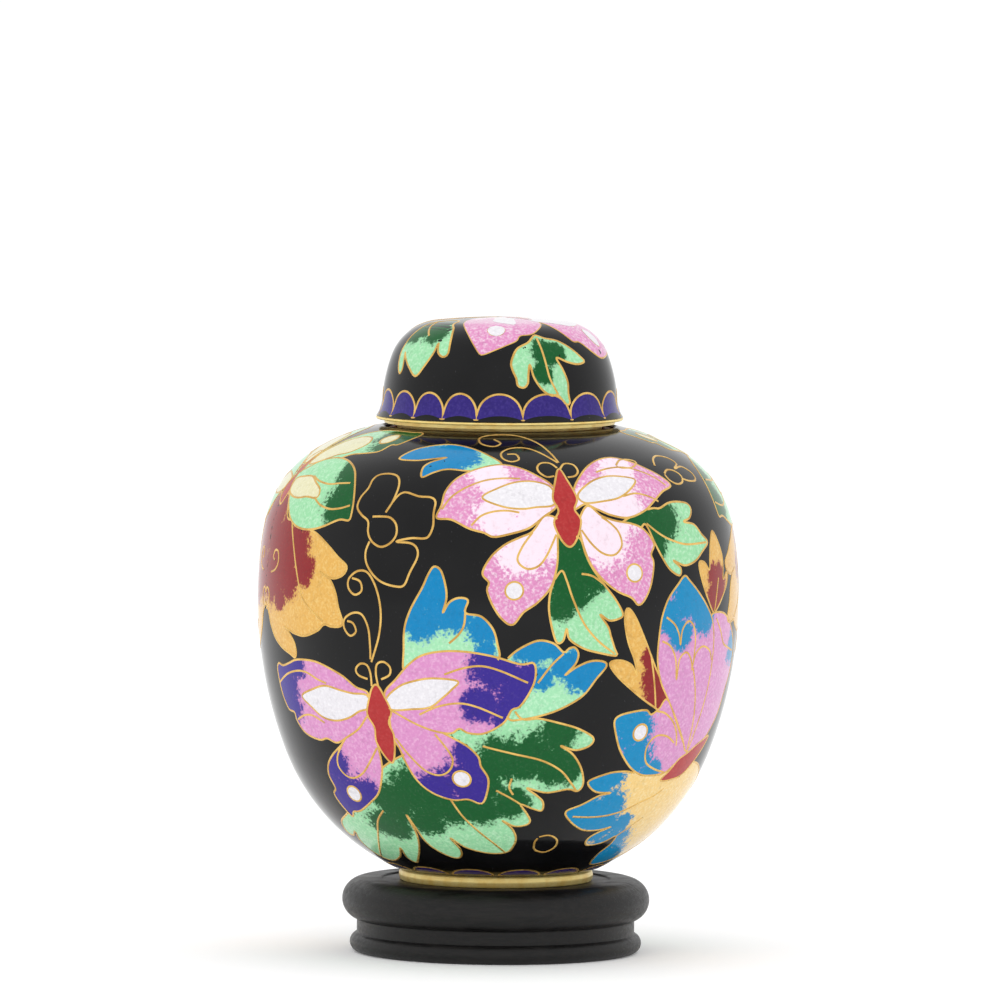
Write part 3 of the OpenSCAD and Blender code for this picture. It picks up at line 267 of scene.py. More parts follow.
LILY_STRANDS = [
    ["lily", [[-5.1, 14], [-2.6, 8.4], [-0.1, 2.4], [1.8, -1.6], [4.9, -4.4],
      [9.3, -6.9]]],
    ["lily", [[-13.4, 2.6], [-10.9, 3.3], [-9.5, 5], [-10, 7.2], [-11.8, 7.5],
      [-12.6, 6], [-11.5, 5.3]]],
    ["lily", [[-16, -5.6], [-14.3, -4.6], [-14.1, -2], [-15.5, -0.9], [-16.8, -2]]]
]
BLUE_SHAPES = [
    ["body", [[3.7, -17], [6, -14.7], [8.3, -12.3], [11.3, -11.2], [15.3, -9.6],
      [20.7, -8.6], [19.7, -10.7], [16, -14], [12, -16.6], [7.3, -17.3]]],
    ["wing", [[10.6, -10.6], [7.3, -7.3], [3.3, -2.7], [-1.3, 2.7], [-4.3, 6.7],
      [-5.9, 11.3], [-6, 16], [-5.3, 20.7], [-3.3, 24.7], [0, 27.7], [2.2, 29.2],
      [4, 28], [7.3, 25.3], [10.7, 22], [13, 19], [14.2, 14.7], [14.3, 8.7],
      [13.7, 2], [12.3, -4.7]]],
    ["wing", [[10.8, -11], [7.5, -7.8], [3.3, -3], [-1.3, 2.4], [-3.4, 0.4],
      [-5.5, -0.9], [-7, 0.1], [-10, -0.1], [-13.7, -1], [-15, -2.4], [-14, -5.3],
      [-11.7, -9.3], [-8, -13], [-4.3, -15], [-0.7, -15.5], [4, -15.2],
      [7, -13.4]]],
    ["wing", [[11, -10.8], [12.5, -4], [13.5, 3], [14, 9], [13.7, 15], [12.6, 19.8],
      [16.7, 20.1], [20.7, 18.7], [24.7, 15.3], [28, 10], [27.5, 5], [25.3, 1],
      [23.3, -4], [19.3, -8.2], [14, -10.6]]],
    ["red_leaf", [[-14.4, 22.5], [-12.7, 20.7], [-10, 16], [-6.8, 10.5], [-4, 6.5],
      [-1, 2], [-2.6, -0.4], [-4.6, 0.6], [-8, 2.3], [-12, 4.7], [-15.7, 7.3],
      [-18, 9.6], [-18.1, 10.8], [-15.7, 11.2], [-13, 10.3], [-11.3, 8.2],
      [-12.3, 11.3], [-14.3, 15.3], [-15.3, 19.3], [-15.2, 21.9]]]
]
BLUE_STRANDS = [
    ["wing", [[-4, 20.7], [-1.3, 19], [0.3, 16.7], [0.9, 14.5], [1.3, 17.7],
      [3.3, 19.5], [5.3, 18.3], [6.2, 15.3], [6, 8.5]]],
    ["wing", [[-5, 15.5], [-2.3, 14.3], [-0.3, 11.3], [0.7, 6.8], [1, 11.3],
      [3.3, 12.7], [5.3, 10.7], [5.9, 8.5]]],
    ["wing", [[5.9, 8.5], [6.7, 12], [9.3, 13.5], [12.5, 12.3], [13.9, 10]]],
    ["wing", [[6.3, 9], [8.3, 4], [10, -2.7], [10.6, -10]]],
    ["wing", [[-3.9, -0.2], [-1.3, -0.7], [2, -2.8], [4.3, -5.7], [5.5, -8.8]]],
    ["wing", [[4.3, -8], [1.3, -6.3], [-2, -5.9], [-4, -7.3], [-4.5, -9.7],
      [-3.3, -12.3], [0, -14], [3.7, -15]]],
    ["wing", [[15, 19], [17.5, 16], [19.5, 13], [22.5, 11.5], [26.5, 10]]],
    ["red_leaf", [[-8, 12.6], [-6.6, 8], [-5.3, 3.4], [-4.6, 0.8]]]
]
LOW_SHAPES = [
    ["blue_leaf", [[-13.7, 7], [-16.3, 6.9], [-20, 5.9], [-23.6, 3.4], [-23.9, 2],
      [-21.3, 0.7], [-17.6, 1.2], [-20, 0], [-22.7, -3.3], [-24.8, -6],
      [-22.5, -8.1], [-18, -9.7], [-14, -9], [-11.2, -7.7], [-13.7, -10],
      [-14.5, -12.3], [-13, -14], [-9.3, -12.7], [-7, -10.4], [-6, -13.3],
      [-6.2, -17], [-3.5, -21], [2, -20.5], [8, -18.5], [14, -15], [19, -9.5],
      [22, -3], [19, 2.5], [13, 7], [7, 9], [0, 9.5], [-7, 8.5]]]
]
LOW_STRANDS = [
    ["blue_leaf", [[-22.7, -6.8], [-16.7, -5.3], [-12, -3.3], [-8, -0.7], [-3.3, 1.7],
      [-1.3, 3.3]]],
    ["blue_leaf", [[-7, -10.6], [-5.3, -8], [-2.7, -4.7]]]
]
BUD_SHAPES = [
    ["red_leaf", [[2.2, -10], [0, -7.3], [-2, -4], [-3.3, -0.3], [-3, 1.3], [-0.9, 1],
      [1, -0.7], [1.6, 2], [2.7, 5.3], [4.4, 7.7], [6.9, 5], [8.5, 1.3], [8, -3.1],
      [10.1, -1.7], [11.2, -2.1], [10.1, -4.3], [6.9, -7.3], [3.6, -9.9]]]
]
BUD_STRANDS = [
    ["red_leaf", [[2.9, -10], [4.4, -5.3], [5.3, -2.7]]]
]
FLOWER_STRANDS = [
    ["flower", [[-1.2, 7.7], [-0.1, 10.3], [0.2, 13.7], [-0.9, 15.9], [-3.1, 16.6],
      [-5.9, 16.3], [-7.1, 15.1], [-7.4, 13.1], [-8.7, 10.9], [-8.9, 8.7], [-7.3, 7],
      [-5.3, 5.6], [-4.9, 3.1], [-3.7, 1.2], [-1.4, 0.1], [0.8, 0.9], [2.2, 2.8],
      [1.9, 5.1], [0.2, 6.6], [-2, 6.8], [-4.3, 6.7]]],
    ["flower", [[-1.2, 7.8], [0.5, 11.2], [1.6, 12.3], [3, 12.4], [5.8, 11.7],
      [8.6, 11.6], [9.9, 10.6], [10.1, 8.1], [10.5, 5.3], [9.9, 3.1], [8.8, 2.4],
      [5.8, 2.3], [2.4, 1.4], [5.8, 1.2], [7.4, 0.1], [7.6, -1.9], [6.1, -5.2],
      [4.9, -8], [3, -8.4], [-0.3, -7.7], [-2.8, -6.1], [-4.7, -3.6], [-5.1, -1.1],
      [-4.3, 1.2]]]
]
HIGH_STRANDS = [
    ["flower", [[-5.5, 6], [-3.5, 8], [-0.5, 9], [3, 8], [4, 6], [1, 4.5], [5, 5],
      [7.5, 3], [6.5, 1], [3, 0.8], [0.5, 1.6]]],
    ["flower", [[-4.8, 3.4], [-2.5, 4.4], [0, 3.8], [1, 2.2], [-0.4, 0.6], [-3, 0.3],
      [-4.8, 1.6], [-4.9, 3.2]]],
    ["flower", [[-16.5, 8.6], [-13.8, 9.8], [-11, 9.2], [-10.2, 8], [-12.8, 7],
      [-15.8, 7.5], [-16.6, 8.4]]]
]
RING_STRANDS = [
    ["flower", [[-2, 2.6], [0.2, 3.1], [2.3, 1.5], [2.5, -1.2], [0.6, -3], [-1.9, -2],
      [-2.6, 0.6], [-2.2, 2.2]]]
]
CROWN_SHAPES = [
    ["body", [[7, -5.2], [6.2, -2], [4.6, 0.2], [4.2, 3], [1.8, 6], [-0.3, 7.6],
      [-1.3, 6.5], [-0.2, 4], [1, 1.5], [1.6, -1], [3.6, -3], [5.6, -4.9]]],
    ["cell", [[-0.8, -2.5], [-1.4, -7], [-1.6, -10.8], [0.1, -13.6], [2.9, -15.3],
      [3.4, -12.6], [3.1, -8.3], [2.8, -3.5], [1, -1.5]]],
    ["cell", [[5.5, -2.5], [6.3, -6], [7.9, -9.2], [11.4, -9.8], [15.1, -8.3],
      [16.7, -4.5], [16.5, 1.5], [14, 4], [8, 3.5], [4.8, 1.5]]],
    ["cell", [[-1.5, 5.6], [-7, 4.5], [-13, 3.8], [-17.5, 5.5], [-13, 8], [-7, 8.3],
      [-2.5, 7]]],
    ["cell", [[2.5, 7], [6, 9.5], [10, 12], [11.5, 15], [8, 15.8], [4, 13], [2, 9.5]]],
    ["wing", [[-6.6, -6], [-7.9, -12], [-7.7, -16], [-6.5, -20], [-4.9, -22.6],
      [-3.5, -23.2], [0, -22.6], [3.3, -21.2], [4.3, -19.7], [7, -18.3], [8.6, -15],
      [8.7, -11.5], [7.5, -7], [5.5, -1.5], [1.5, 2], [-3, -1]]],
    ["wing", [[7.5, -7.5], [9.5, -11], [12.6, -13.6], [15.8, -14.6], [17.3, -13.3],
      [20.1, -11.8], [22.3, -9], [23.4, -5], [23.6, 0], [22.6, 5], [18, 7.2],
      [10, 6.5], [4, 3.5], [3.5, 0.5]]],
    ["wing", [[0, 4.5], [-6, 3], [-12, 1], [-17.5, 1.5], [-21, 4], [-22, 7.5],
      [-20, 10.2], [-16, 11.5], [-10, 11.5], [-5, 9.5], [-0.6, 7]]],
    ["wing", [[2, 5.5], [7, 7.8], [12, 8.7], [16.5, 8.8], [18, 10.8], [16, 14.5],
      [11.5, 17.5], [6, 19.2], [2.5, 18], [0.8, 14], [0.3, 8]]]
]
CROWN_STRANDS = [
    ["wing", [[-1, 7.5], [-2, 11], [-4, 14], [-7, 15.5], [-9, 14.5], [-8.3, 13]]],
    ["wing", [[-0.7, 7.6], [-1, 12], [-1.5, 16.5], [-3.5, 19.3], [-5.8, 19],
      [-5.6, 17.2]]],
    ["wing", [[-19.5, 4.6], [-15, 2.6], [-9, 3.2]]],
    ["wing", [[16.4, 12], [13, 10.4], [8, 9.4]]]
]
NEAR_LEAF_SHAPES = [
    ["leaf", [[-0.9, 7.4], [1, 6.5], [3.8, 5.9], [6.6, 4.3], [9.3, 2.2], [10.2, 1.2],
      [8.2, 0.4], [5.4, 0.7], [2.6, 1.6], [3.8, -1], [4.8, -3.8], [4.8, -6.3],
      [5.1, -8.4], [4.1, -8.7], [2.1, -6.8], [0.4, -6.9], [-1.8, -5.4],
      [-3.4, -2.7], [-4, 0.2], [-4.6, -2.1], [-4.9, -4], [-5.9, -4.9],
      [-7.1, -4.3], [-7.3, -2.7], [-7.9, -0.7], [-7.9, 1.2], [-6.2, 4],
      [-3.4, 5.4], [-1.8, 6.8]]]
]
NEAR_LEAF_STRANDS = [
    ["leaf", [[-0.9, 6.6], [-0.6, 3.3], [-0.2, 0.1], [0.4, -3.2], [2.1, -6.6]]]
]
FAR_LEAF_SHAPES = [
    ["leaf", [[-4, 9.5], [-4.8, 5.7], [-5, 2.9], [-5.1, 0.1], [-4.3, -2.7], [-3, -4.3],
      [-2.2, -3.2], [-2.6, -1], [-3.1, 0.6], [-1.8, -1], [0.4, -2.9], [3.3, -4.6],
      [5.4, -1.8], [6.6, 1.2], [6.5, 3.7], [7.7, 1.5], [9.3, 0.7], [10.2, 1.8],
      [8.8, 5.1], [6.6, 7.9], [4.3, 9.3], [2, 11], [-1, 11.6]]]
]
FAR_LEAF_STRANDS = [
    ["leaf", [[-2.9, 9.8], [-0.7, 7.3], [2.1, 5.1]]]
]


# ---- profiles ----
def arc_points(start, slope, arcs):
    """Radius, height and outward normal along a chain of tangent arcs, densely."""
    rows, p, a = [], np.array(start, float), math.radians(slope)
    for bend, end in arcs:
        e = math.radians(end)
        c = p + bend * np.array([-math.sin(a), math.cos(a)])
        for t in np.linspace(a, e, 60):
            q = c - bend * np.array([-math.sin(t), math.cos(t)])
            rows.append([q[0], q[1], math.sin(t), -math.cos(t), t])
        p, a = q, e
    return np.array(rows)


def lid_arcs():
    end = arc_points(LID_START, LID_SLOPE, LID_SIDES)[-1]
    return LID_SIDES + [(end[0] / math.sin(end[4]), 180)]


JAR = arc_points(BODY_START, BODY_SLOPE, BODY_ARCS)
LID = arc_points(LID_START, LID_SLOPE, lid_arcs())


def on_skin(profile, points):
    """Outward normals of surface points."""
    n_r = np.interp(points[:, 2], profile[:, 1], profile[:, 2])
    n_z = np.interp(points[:, 2], profile[:, 1], profile[:, 3])
    r = np.maximum(np.hypot(points[:, 0], points[:, 1]), 1e-9)
    return np.column_stack([points[:, 0] / r * n_r, points[:, 1] / r * n_r, n_z])


class Panel:
    """A drawing plane on the jar or the lid, and the way from it to the surface."""

    def __init__(self, profile, azimuth, height):
        az = math.radians(azimuth)
        out = np.array([math.sin(az), -math.cos(az), 0])
        slope = np.interp(height, profile[:, 1], profile[:, 4])
        radius = np.interp(height, profile[:, 1], profile[:, 0])
        up = np.array([0, 0, 1.0])
        self.profile = profile
        self.origin = out * radius + up * height
        self.across = np.array([math.cos(az), math.sin(az), 0])
        self.up = out * math.cos(slope) + up * math.sin(slope)
        self.out = out * math.sin(slope) - up * math.cos(slope)

    def outside(self, p):
        r = np.interp(p[..., 2], self.profile[:, 1], self.profile[:, 0], left=0, right=0)
        return np.hypot(p[..., 0], p[..., 1]) - r

    def drop(self, uv):
        """Points of the surface behind panel points, and their normals."""
        uv = np.asarray(uv, float)
        base = self.origin + uv[:, :1] * self.across + uv[:, 1:] * self.up
        depth = np.arange(-DEPTH_ABOVE, REACH, DEPTH_STEP)
        p = base[:, None, :] - depth[None, :, None] * self.out
        hit = np.argmax(self.outside(p) < 0, axis=1)
        high = depth[hit]
        low = high - DEPTH_STEP
        for _ in range(HALVINGS):
            mid = (low + high) / 2
            inside = self.outside(base - mid[:, None] * self.out) < 0
            high = np.where(inside, mid, high)
            low = np.where(inside, low, mid)
        p = base - high[:, None] * self.out
        return p, on_skin(self.profile, p)

    def lift(self, points):
        """Panel coordinates of surface points; far off for those behind the panel's reach."""
        d = points - self.origin
        uv = np.column_stack([d @ self.across, d @ self.up])
        uv[d @ self.out < -REACH] = UNSEEN
        return uv


class Crown(Panel):
    """The lid's top, drawn from above."""

    def __init__(self):
        self.profile = LID

    def drop(self, uv):
        uv = np.asarray(uv, float)
        dome = LID[LID[:, 1] > LID_Z + CROWN_RISE][::-1]
        z = np.interp(np.hypot(uv[:, 0], uv[:, 1]), dome[:, 0], dome[:, 1])
        p = np.column_stack([uv, z])
        return p, on_skin(LID, p)

    def lift(self, points):
        uv = points[:, :2].copy()
        uv[points[:, 2] < LID_Z + CROWN_REACH] = UNSEEN
        return uv


# ---- curves ----
def smooth(points, closed, step):
    """A Catmull-Rom curve through the points, with about one point per step."""
    p = np.asarray(points, float)
    n = len(p)
    out = []
    for i in range(n if closed else n - 1):
        a, b, c, d = (p[(i + k) % n] if closed else p[min(max(i + k, 0), n - 1)] for k in (-1, 0, 1, 2))
        count = max(2, int(math.ceil(np.linalg.norm(c - b) / step)))
        for t in np.arange(count) / count:
            square, cube = 2 * a - 5 * b + 4 * c - d, 3 * b - a - 3 * c + d
            out.append(0.5 * (2 * b + (c - a) * t + square * t**2 + cube * t**3))
    if not closed:
        out.append(p[-1])
    return np.array(out)


def ellipse(u, v, wide, high):
    turn = np.linspace(0, 2 * math.pi, 12, endpoint=False)
    return [[u + wide * math.cos(a), v + high * math.sin(a)] for a in turn]


def inside(points, outline):
    """Which points lie in a closed outline."""
    x, y = points[:, 0][:, None], points[:, 1][:, None]
    a, b = outline, np.roll(outline, -1, axis=0)
    spans = (a[:, 1] > y) != (b[:, 1] > y)
    rise = np.where(b[:, 1] == a[:, 1], 1e-12, b[:, 1] - a[:, 1])
    cross = x < (b[:, 0] - a[:, 0]) * (y - a[:, 1]) / rise + a[:, 0]
    return (np.sum(spans & cross, axis=1) % 2) == 1


def flipped(rows):
    return [[kind, [[-u, v] for u, v in line]] for kind, line in rows]


# ---- meshes ----
class Build:
    """Collects vertices, faces, normals, tint and material of one piece."""

    def __init__(self):
        self.verts, self.normals, self.tints, self.faces, self.slots = [], [], [], [], []
        self.count = 0

    def add(self, verts, normals, faces, tint=None, slot=0):
        verts = np.asarray(verts, float)
        self.verts.append(verts)
        self.normals.append(np.asarray(normals, float))
        self.tints.append(np.zeros(len(verts)) if tint is None else tint)
        self.faces += [tuple(int(i) + self.count for i in f) for f in faces]
        self.slots += [slot] * len(faces)
        self.count += len(verts)

    def repeated_behind(self):
        """Adds all that is there again, turned to the back of the jar."""
        a = math.radians(BACK)
        spin = np.array([[math.cos(a), math.sin(a), 0], [-math.sin(a), math.cos(a), 0], [0, 0, 1]])
        self.verts += [v @ spin for v in self.verts]
        self.normals += [n @ spin for n in self.normals]
        self.tints += self.tints
        self.faces += [tuple(i + self.count for i in f) for f in self.faces]
        self.slots += self.slots
        self.count *= 2

    def piece(self, name, materials, body, slot, nodes):
        mesh = bpy.data.meshes.new(name)
        mesh.from_pydata((np.concatenate(self.verts) * MM).tolist(), [], self.faces)
        for material in materials:
            mesh.materials.append(material)
        mesh.polygons.foreach_set("material_index", self.slots)
        mesh.polygons.foreach_set("use_smooth", [True] * len(self.faces))
        tint = mesh.attributes.new("tint", "FLOAT", "POINT")
        tint.data.foreach_set("value", np.concatenate(self.tints).astype(np.float32))
        mesh.normals_split_custom_set_from_vertices(np.concatenate(self.normals).tolist())
        obj = bpy.data.objects.new(name, mesh)
        bpy.context.scene.collection.objects.link(obj)
        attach(obj, body)
        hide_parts(*nodes)
        return obj


def covered(points, fronts):
    """Which surface points lie behind the motifs in front."""
    hidden = np.zeros(len(points), bool)
    for panel, outlines in fronts:
        uv = panel.lift(points)
        for line in outlines:
            hidden |= inside(uv, line)
    return hidden


def tint_at(uv, accents):
    """How much of its second colour an enamel has: 1 round an accent's middle, 0 past its reach."""
    steepness, spill = 1.35, 0.12
    tint = np.zeros(len(uv))
    for u, v, reach in accents:
        d = np.hypot(uv[:, 0] - u, uv[:, 1] - v)
        tint = np.maximum(tint, np.clip(steepness * (1 - d / reach) + spill, 0, 1))
    return tint


def patch(build, panel, outline, cuts, fronts, accents, height, slot, keep=None):
    """One enamel: the part of an outline that the shapes before it leave free."""
    low, high = outline.min(axis=0), outline.max(axis=0)
    rows = np.arange(low[1], high[1], PATCH_STEP * ROW_STEP)
    grid = np.array([
        [u + (k % 2) * PATCH_STEP / 2, v]
        for k, v in enumerate(rows)
        for u in np.arange(low[0], high[0], PATCH_STEP)
    ])
    grid = grid[inside(grid, outline)]
    border = np.concatenate([outline] + cuts)
    near = np.array([np.min(np.hypot(*(border - g).T)) for g in grid])
    grid = grid[near > PATCH_STEP * CLEARANCE]
    points, edges = [], []
    for line in [outline] + cuts:
        first = len(points)
        points += [Vector(p) for p in line]
        edges += [(first + i, first + (i + 1) % len(line)) for i in range(len(line))]
    points += [Vector(p) for p in grid]
    verts, _, faces = delaunay_2d_cdt(points, edges, [], 0, 1e-5)[:3]
    uv = np.array([tuple(v) for v in verts])
    middle = np.array([uv[list(f)].mean(axis=0) for f in faces])
    wanted = inside(middle, outline)
    for line in cuts:
        wanted &= ~inside(middle, line)
    surface, _ = panel.drop(middle)
    wanted &= ~covered(surface, fronts)
    if keep is not None:
        wanted &= keep(surface)
    faces = [f for f, w in zip(faces, wanted) if w]
    if not faces:
        return
    used = sorted({i for f in faces for i in f})
    place = {i: k for k, i in enumerate(used)}
    p, n = panel.drop(uv[used])
    faces = [[place[i] for i in f] for f in faces]
    build.add(p + n * height, n, faces, tint_at(uv[used], accents), slot)


# A wire's top, across in wire widths and up in millimetres
PROFILE = [
    (-0.5, -0.05), (-0.46, 0.045), (-0.25, 0.072), (0, WIRE_PROUD), (0.25, 0.072), (0.46, 0.045), (0.5, -0.05)
]


def ribbon(build, surface, normal, closed):
    """A flat wire on edge, ground and polished with the enamel, along surface points."""
    n = len(surface)
    if closed:
        along = np.roll(surface, -1, axis=0) - np.roll(surface, 1, axis=0)
    else:
        along = np.gradient(surface, axis=0)
    spread, crest = 1.3, 1.2
    side = np.cross(along, normal)
    side /= np.linalg.norm(side, axis=1)[:, None]
    verts, normals = [], []
    for i in range(n):
        for across, up in PROFILE:
            verts.append(surface[i] + side[i] * across * WIRE_W + normal[i] * up)
            v = side[i] * across * spread + normal[i] * (crest - abs(across))
            normals.append(v / np.linalg.norm(v))
    m = len(PROFILE)
    faces = [
        (i * m + k, i * m + k + 1, ((i + 1) % n) * m + k + 1, ((i + 1) % n) * m + k)
        for i in range(n if closed else n - 1)
        for k in range(m - 1)
    ]
    build.add(verts, normals, faces)


def wire(build, panel, line, closed, cuts, fronts, keep=None):
    """A wire along a panel curve, wherever nothing lies in front of it."""
    p, n = panel.drop(line)
    shown = ~covered(p, fronts)
    for cut in cuts:
        shown &= ~inside(line, cut)
    if keep is not None:
        shown &= keep(p)
    if closed and shown.all():
        ribbon(build, p, n, True)
        return
    if closed:
        start = int(np.argmin(shown))
        order = np.roll(np.arange(len(line)), -start)
    else:
        order = np.arange(len(line))
    run = []
    for k in order:
        run.append(k)
        if not shown[k]:
            if len(run) > 2:
                ribbon(build, p[run], n[run], False)
            run = []
    if closed and run:
        run.append(order[0])
    if len(run) > 2:
        ribbon(build, p[run], n[run], False)


def lathe(name, outline, material, body, slot, nodes):
    """A turned piece: a closed outline of [radius, height] points round the axis."""
    pts = np.asarray(outline, float)
    angle = np.linspace(0, 2 * math.pi, TURN_STEPS, endpoint=False)
    ring = np.column_stack([np.cos(angle), np.sin(angle)])
    along = np.roll(pts, -1, axis=0) - np.roll(pts, 1, axis=0)
    flat = np.column_stack([along[:, 1], -along[:, 0]])
    flat /= np.maximum(np.linalg.norm(flat, axis=1), 1e-9)[:, None]

    def swept(rows):
        return np.concatenate([np.column_stack([ring * r, np.full(TURN_STEPS, z)]) for r, z in rows])

    faces = []
    for j in range(len(pts)):
        here, above = j * TURN_STEPS, (j + 1) % len(pts) * TURN_STEPS
        for i in range(TURN_STEPS):
            after = (i + 1) % TURN_STEPS
            faces.append((here + i, here + after, above + after, above + i))
    build = Build()
    build.add(swept(pts), swept(flat), faces)
    return build.piece(name, [material], body, slot, nodes)


def rounded(corners, radius):
    """A closed outline with its corners rounded, as points for a lathe."""
    out, n = [], len(corners)
    for i in range(n):
        a, b, c = (np.array(corners[(i + k) % n], float) for k in (-1, 0, 1))
        to_a, to_c = a - b, c - b
        cut = min(radius, np.linalg.norm(to_a) * 0.45, np.linalg.norm(to_c) * 0.45)
        p = b + to_a / np.linalg.norm(to_a) * cut
        q = b + to_c / np.linalg.norm(to_c) * cut
        for t in np.linspace(0, 1, CORNER_STEPS):
            out.append((1 - t) ** 2 * p + 2 * t * (1 - t) * b + t**2 * q)
        for t in (0.06, 0.5, 0.94):
            out.append(q + (c + (b - c) / np.linalg.norm(b - c) * cut - q) * t)
    return np.array(out)


# ---- materials ----
class Nodes:
    """A material's node tree, with short calls for what the enamels and metals share."""

    def __init__(self, name):
        self.material = bpy.data.materials.new(name)
        self.material.use_nodes = True
        self.tree = self.material.node_tree
        self.shader = self.tree.nodes["Principled BSDF"]
        self.place = self.new("ShaderNodeTexCoord").outputs["Object"]

    def new(self, kind, **settings):
        node = self.tree.nodes.new(kind)
        for key, value in settings.items():
            setattr(node, key, value)
        return node

    def link(self, a, b):
        self.tree.links.new(a, b)

    def noise(self, scale, detail=2.0, roughness=0.5, place=None):
        node = self.new("ShaderNodeTexNoise")
        node.inputs["Scale"].default_value = scale
        node.inputs["Detail"].default_value = detail
        node.inputs["Roughness"].default_value = roughness
        self.link(place or self.place, node.inputs["Vector"])
        return node.outputs["Fac"]

    def ramp(self, value, low, high, start=0.0, end=1.0):
        node = self.new("ShaderNodeMapRange", interpolation_type="SMOOTHSTEP")
        for key, number in (("From Min", low), ("From Max", high), ("To Min", start), ("To Max", end)):
            node.inputs[key].default_value = number
        self.link(value, node.inputs["Value"])
        return node.outputs["Result"]

    def mix(self, factor, a, b):
        node = self.new("ShaderNodeMix", data_type="RGBA")
        self.link(factor, node.inputs["Factor"])
        for socket, colour in ((node.inputs[6], a), (node.inputs[7], b)):
            if isinstance(colour, tuple):
                socket.default_value = (*colour, 1)
            else:
                self.link(colour, socket)
        return node.outputs[2]

    def sum(self, a, b, scale=1.0, offset=0.0):
        """a + scale * b + offset"""
        first = self.new("ShaderNodeMath", operation="MULTIPLY_ADD")
        self.link(b, first.inputs[0])
        first.inputs[1].default_value = scale
        first.inputs[2].default_value = offset
        node = self.new("ShaderNodeMath", operation="ADD")
        self.link(a, node.inputs[0])
        self.link(first.outputs[0], node.inputs[1])
        return node.outputs[0]

    def bump(self, value, strength, distance):
        node = self.new("ShaderNodeBump")
        node.inputs["Strength"].default_value = strength
        node.inputs["Distance"].default_value = distance
        self.link(value, node.inputs["Height"])
        self.link(node.outputs["Normal"], self.shader.inputs["Normal"])

    def finish(self, **values):
        for key, value in values.items():
            self.shader.inputs[key.replace("_", " ")].default_value = value
        return self.material


def srgb(*levels):
    """A screen colour, 0 to 255, as the linear one that shaders take."""
    return tuple(((c / 255 + 0.055) / 1.055) ** 2.4 if c > 10 else c / 255 / 12.92 for c in levels)


def enamel(name, first, second, grain, light):
    """Ground and fired enamel: grains a shade apart, and a ragged edge where two colours meet."""
    n = Nodes(name)
    fine = n.noise(1500, 3, 0.6)
    coarse = n.noise(420, 4, 0.65)
    pale = srgb(*light)
    colour = n.mix(n.ramp(fine, 0.42, 0.72, 0, grain), srgb(*first), pale)
    if second:
        tint = n.new("ShaderNodeAttribute", attribute_name="tint").outputs["Fac"]
        ragged = n.sum(n.sum(tint, coarse, 1.1, -0.55), fine, 1.2, -0.6)
        other = n.mix(n.ramp(fine, 0.5, 0.8, 0, grain * 0.06), srgb(*second), pale)
        colour = n.mix(n.ramp(ragged, 0.32, 0.68), colour, other)
    dark = n.ramp(n.noise(700, 5, 0.7), 0.3, 0.5, 0.86, 1)
    shade = n.new("ShaderNodeHueSaturation")
    n.link(dark, shade.inputs["Value"])
    n.link(colour, shade.inputs["Color"])
    n.link(shade.outputs["Color"], n.shader.inputs["Base Color"])
    n.link(n.ramp(n.noise(900, 3), 0.3, 0.7, 0.08, 0.15), n.shader.inputs["Roughness"])
    n.bump(n.noise(650, 4, 0.6), 0.12, 0.00006)
    return n.finish(IOR=1.5, Specular_IOR_Level=0.22)


def black_enamel(name):
    """Near-black glassy ground with pin pits and faint dust in it."""
    n = Nodes(name)
    cloud = n.ramp(n.noise(60, 4), 0.35, 0.7)
    colour = n.mix(cloud, srgb(11, 11, 12), srgb(18, 18, 19))
    specks = n.ramp(n.noise(2600, 2, 0.5), 0.735, 0.76)
    colour = n.mix(specks, colour, srgb(70, 70, 74))
    n.link(colour, n.shader.inputs["Base Color"])
    n.link(n.ramp(n.noise(300, 4), 0.3, 0.7, 0.07, 0.15), n.shader.inputs["Roughness"])
    n.bump(n.noise(500, 4, 0.55), 0.1, 0.00005)
    return n.finish(IOR=1.5, Specular_IOR_Level=0.22)


def gilt_wire(name):
    """Gilded copper: warm, softly polished, a little darker in places, with fine scratches."""
    n = Nodes(name)
    wear = n.ramp(n.noise(260, 5, 0.6), 0.35, 0.7)
    n.link(n.mix(wear, srgb(232, 190, 104), srgb(198, 152, 72)), n.shader.inputs["Base Color"])
    n.link(n.ramp(n.noise(1400, 4, 0.6), 0.3, 0.7, 0.22, 0.4), n.shader.inputs["Roughness"])
    n.bump(n.noise(2200, 3), 0.15, 0.00004)
    return n.finish(Metallic=0.62)


def spun_gilt(name):
    """A gilt rim turned on a lathe: fine rings round the axis."""
    n = Nodes(name)
    split = n.new("ShaderNodeSeparateXYZ")
    n.link(n.place, split.inputs[0])
    rings = n.new("ShaderNodeCombineXYZ")
    n.link(split.outputs["Z"], rings.inputs["Z"])
    streak = n.noise(5200, 2, 0.5, rings.outputs[0])
    wear = n.noise(300, 5, 0.6)
    colour = n.mix(n.ramp(wear, 0.35, 0.7), srgb(255, 232, 150), srgb(244, 208, 118))
    n.link(colour, n.shader.inputs["Base Color"])
    n.link(n.ramp(n.sum(streak, wear, 0.5), 0.4, 1.1, 0.24, 0.46), n.shader.inputs["Roughness"])
    n.bump(streak, 0.25, 0.00005)
    return n.finish(Metallic=0.38)


def copper(name):
    """Bare spun copper, dulled."""
    n = Nodes(name)
    tarnish = n.ramp(n.noise(180, 6, 0.65), 0.35, 0.7)
    n.link(n.mix(tarnish, srgb(190, 122, 84), srgb(120, 74, 50)), n.shader.inputs["Base Color"])
    n.link(n.ramp(n.noise(900, 4), 0.3, 0.7, 0.3, 0.5), n.shader.inputs["Roughness"])
    n.bump(n.noise(1200, 3), 0.2, 0.00004)
    return n.finish(Metallic=1.0)


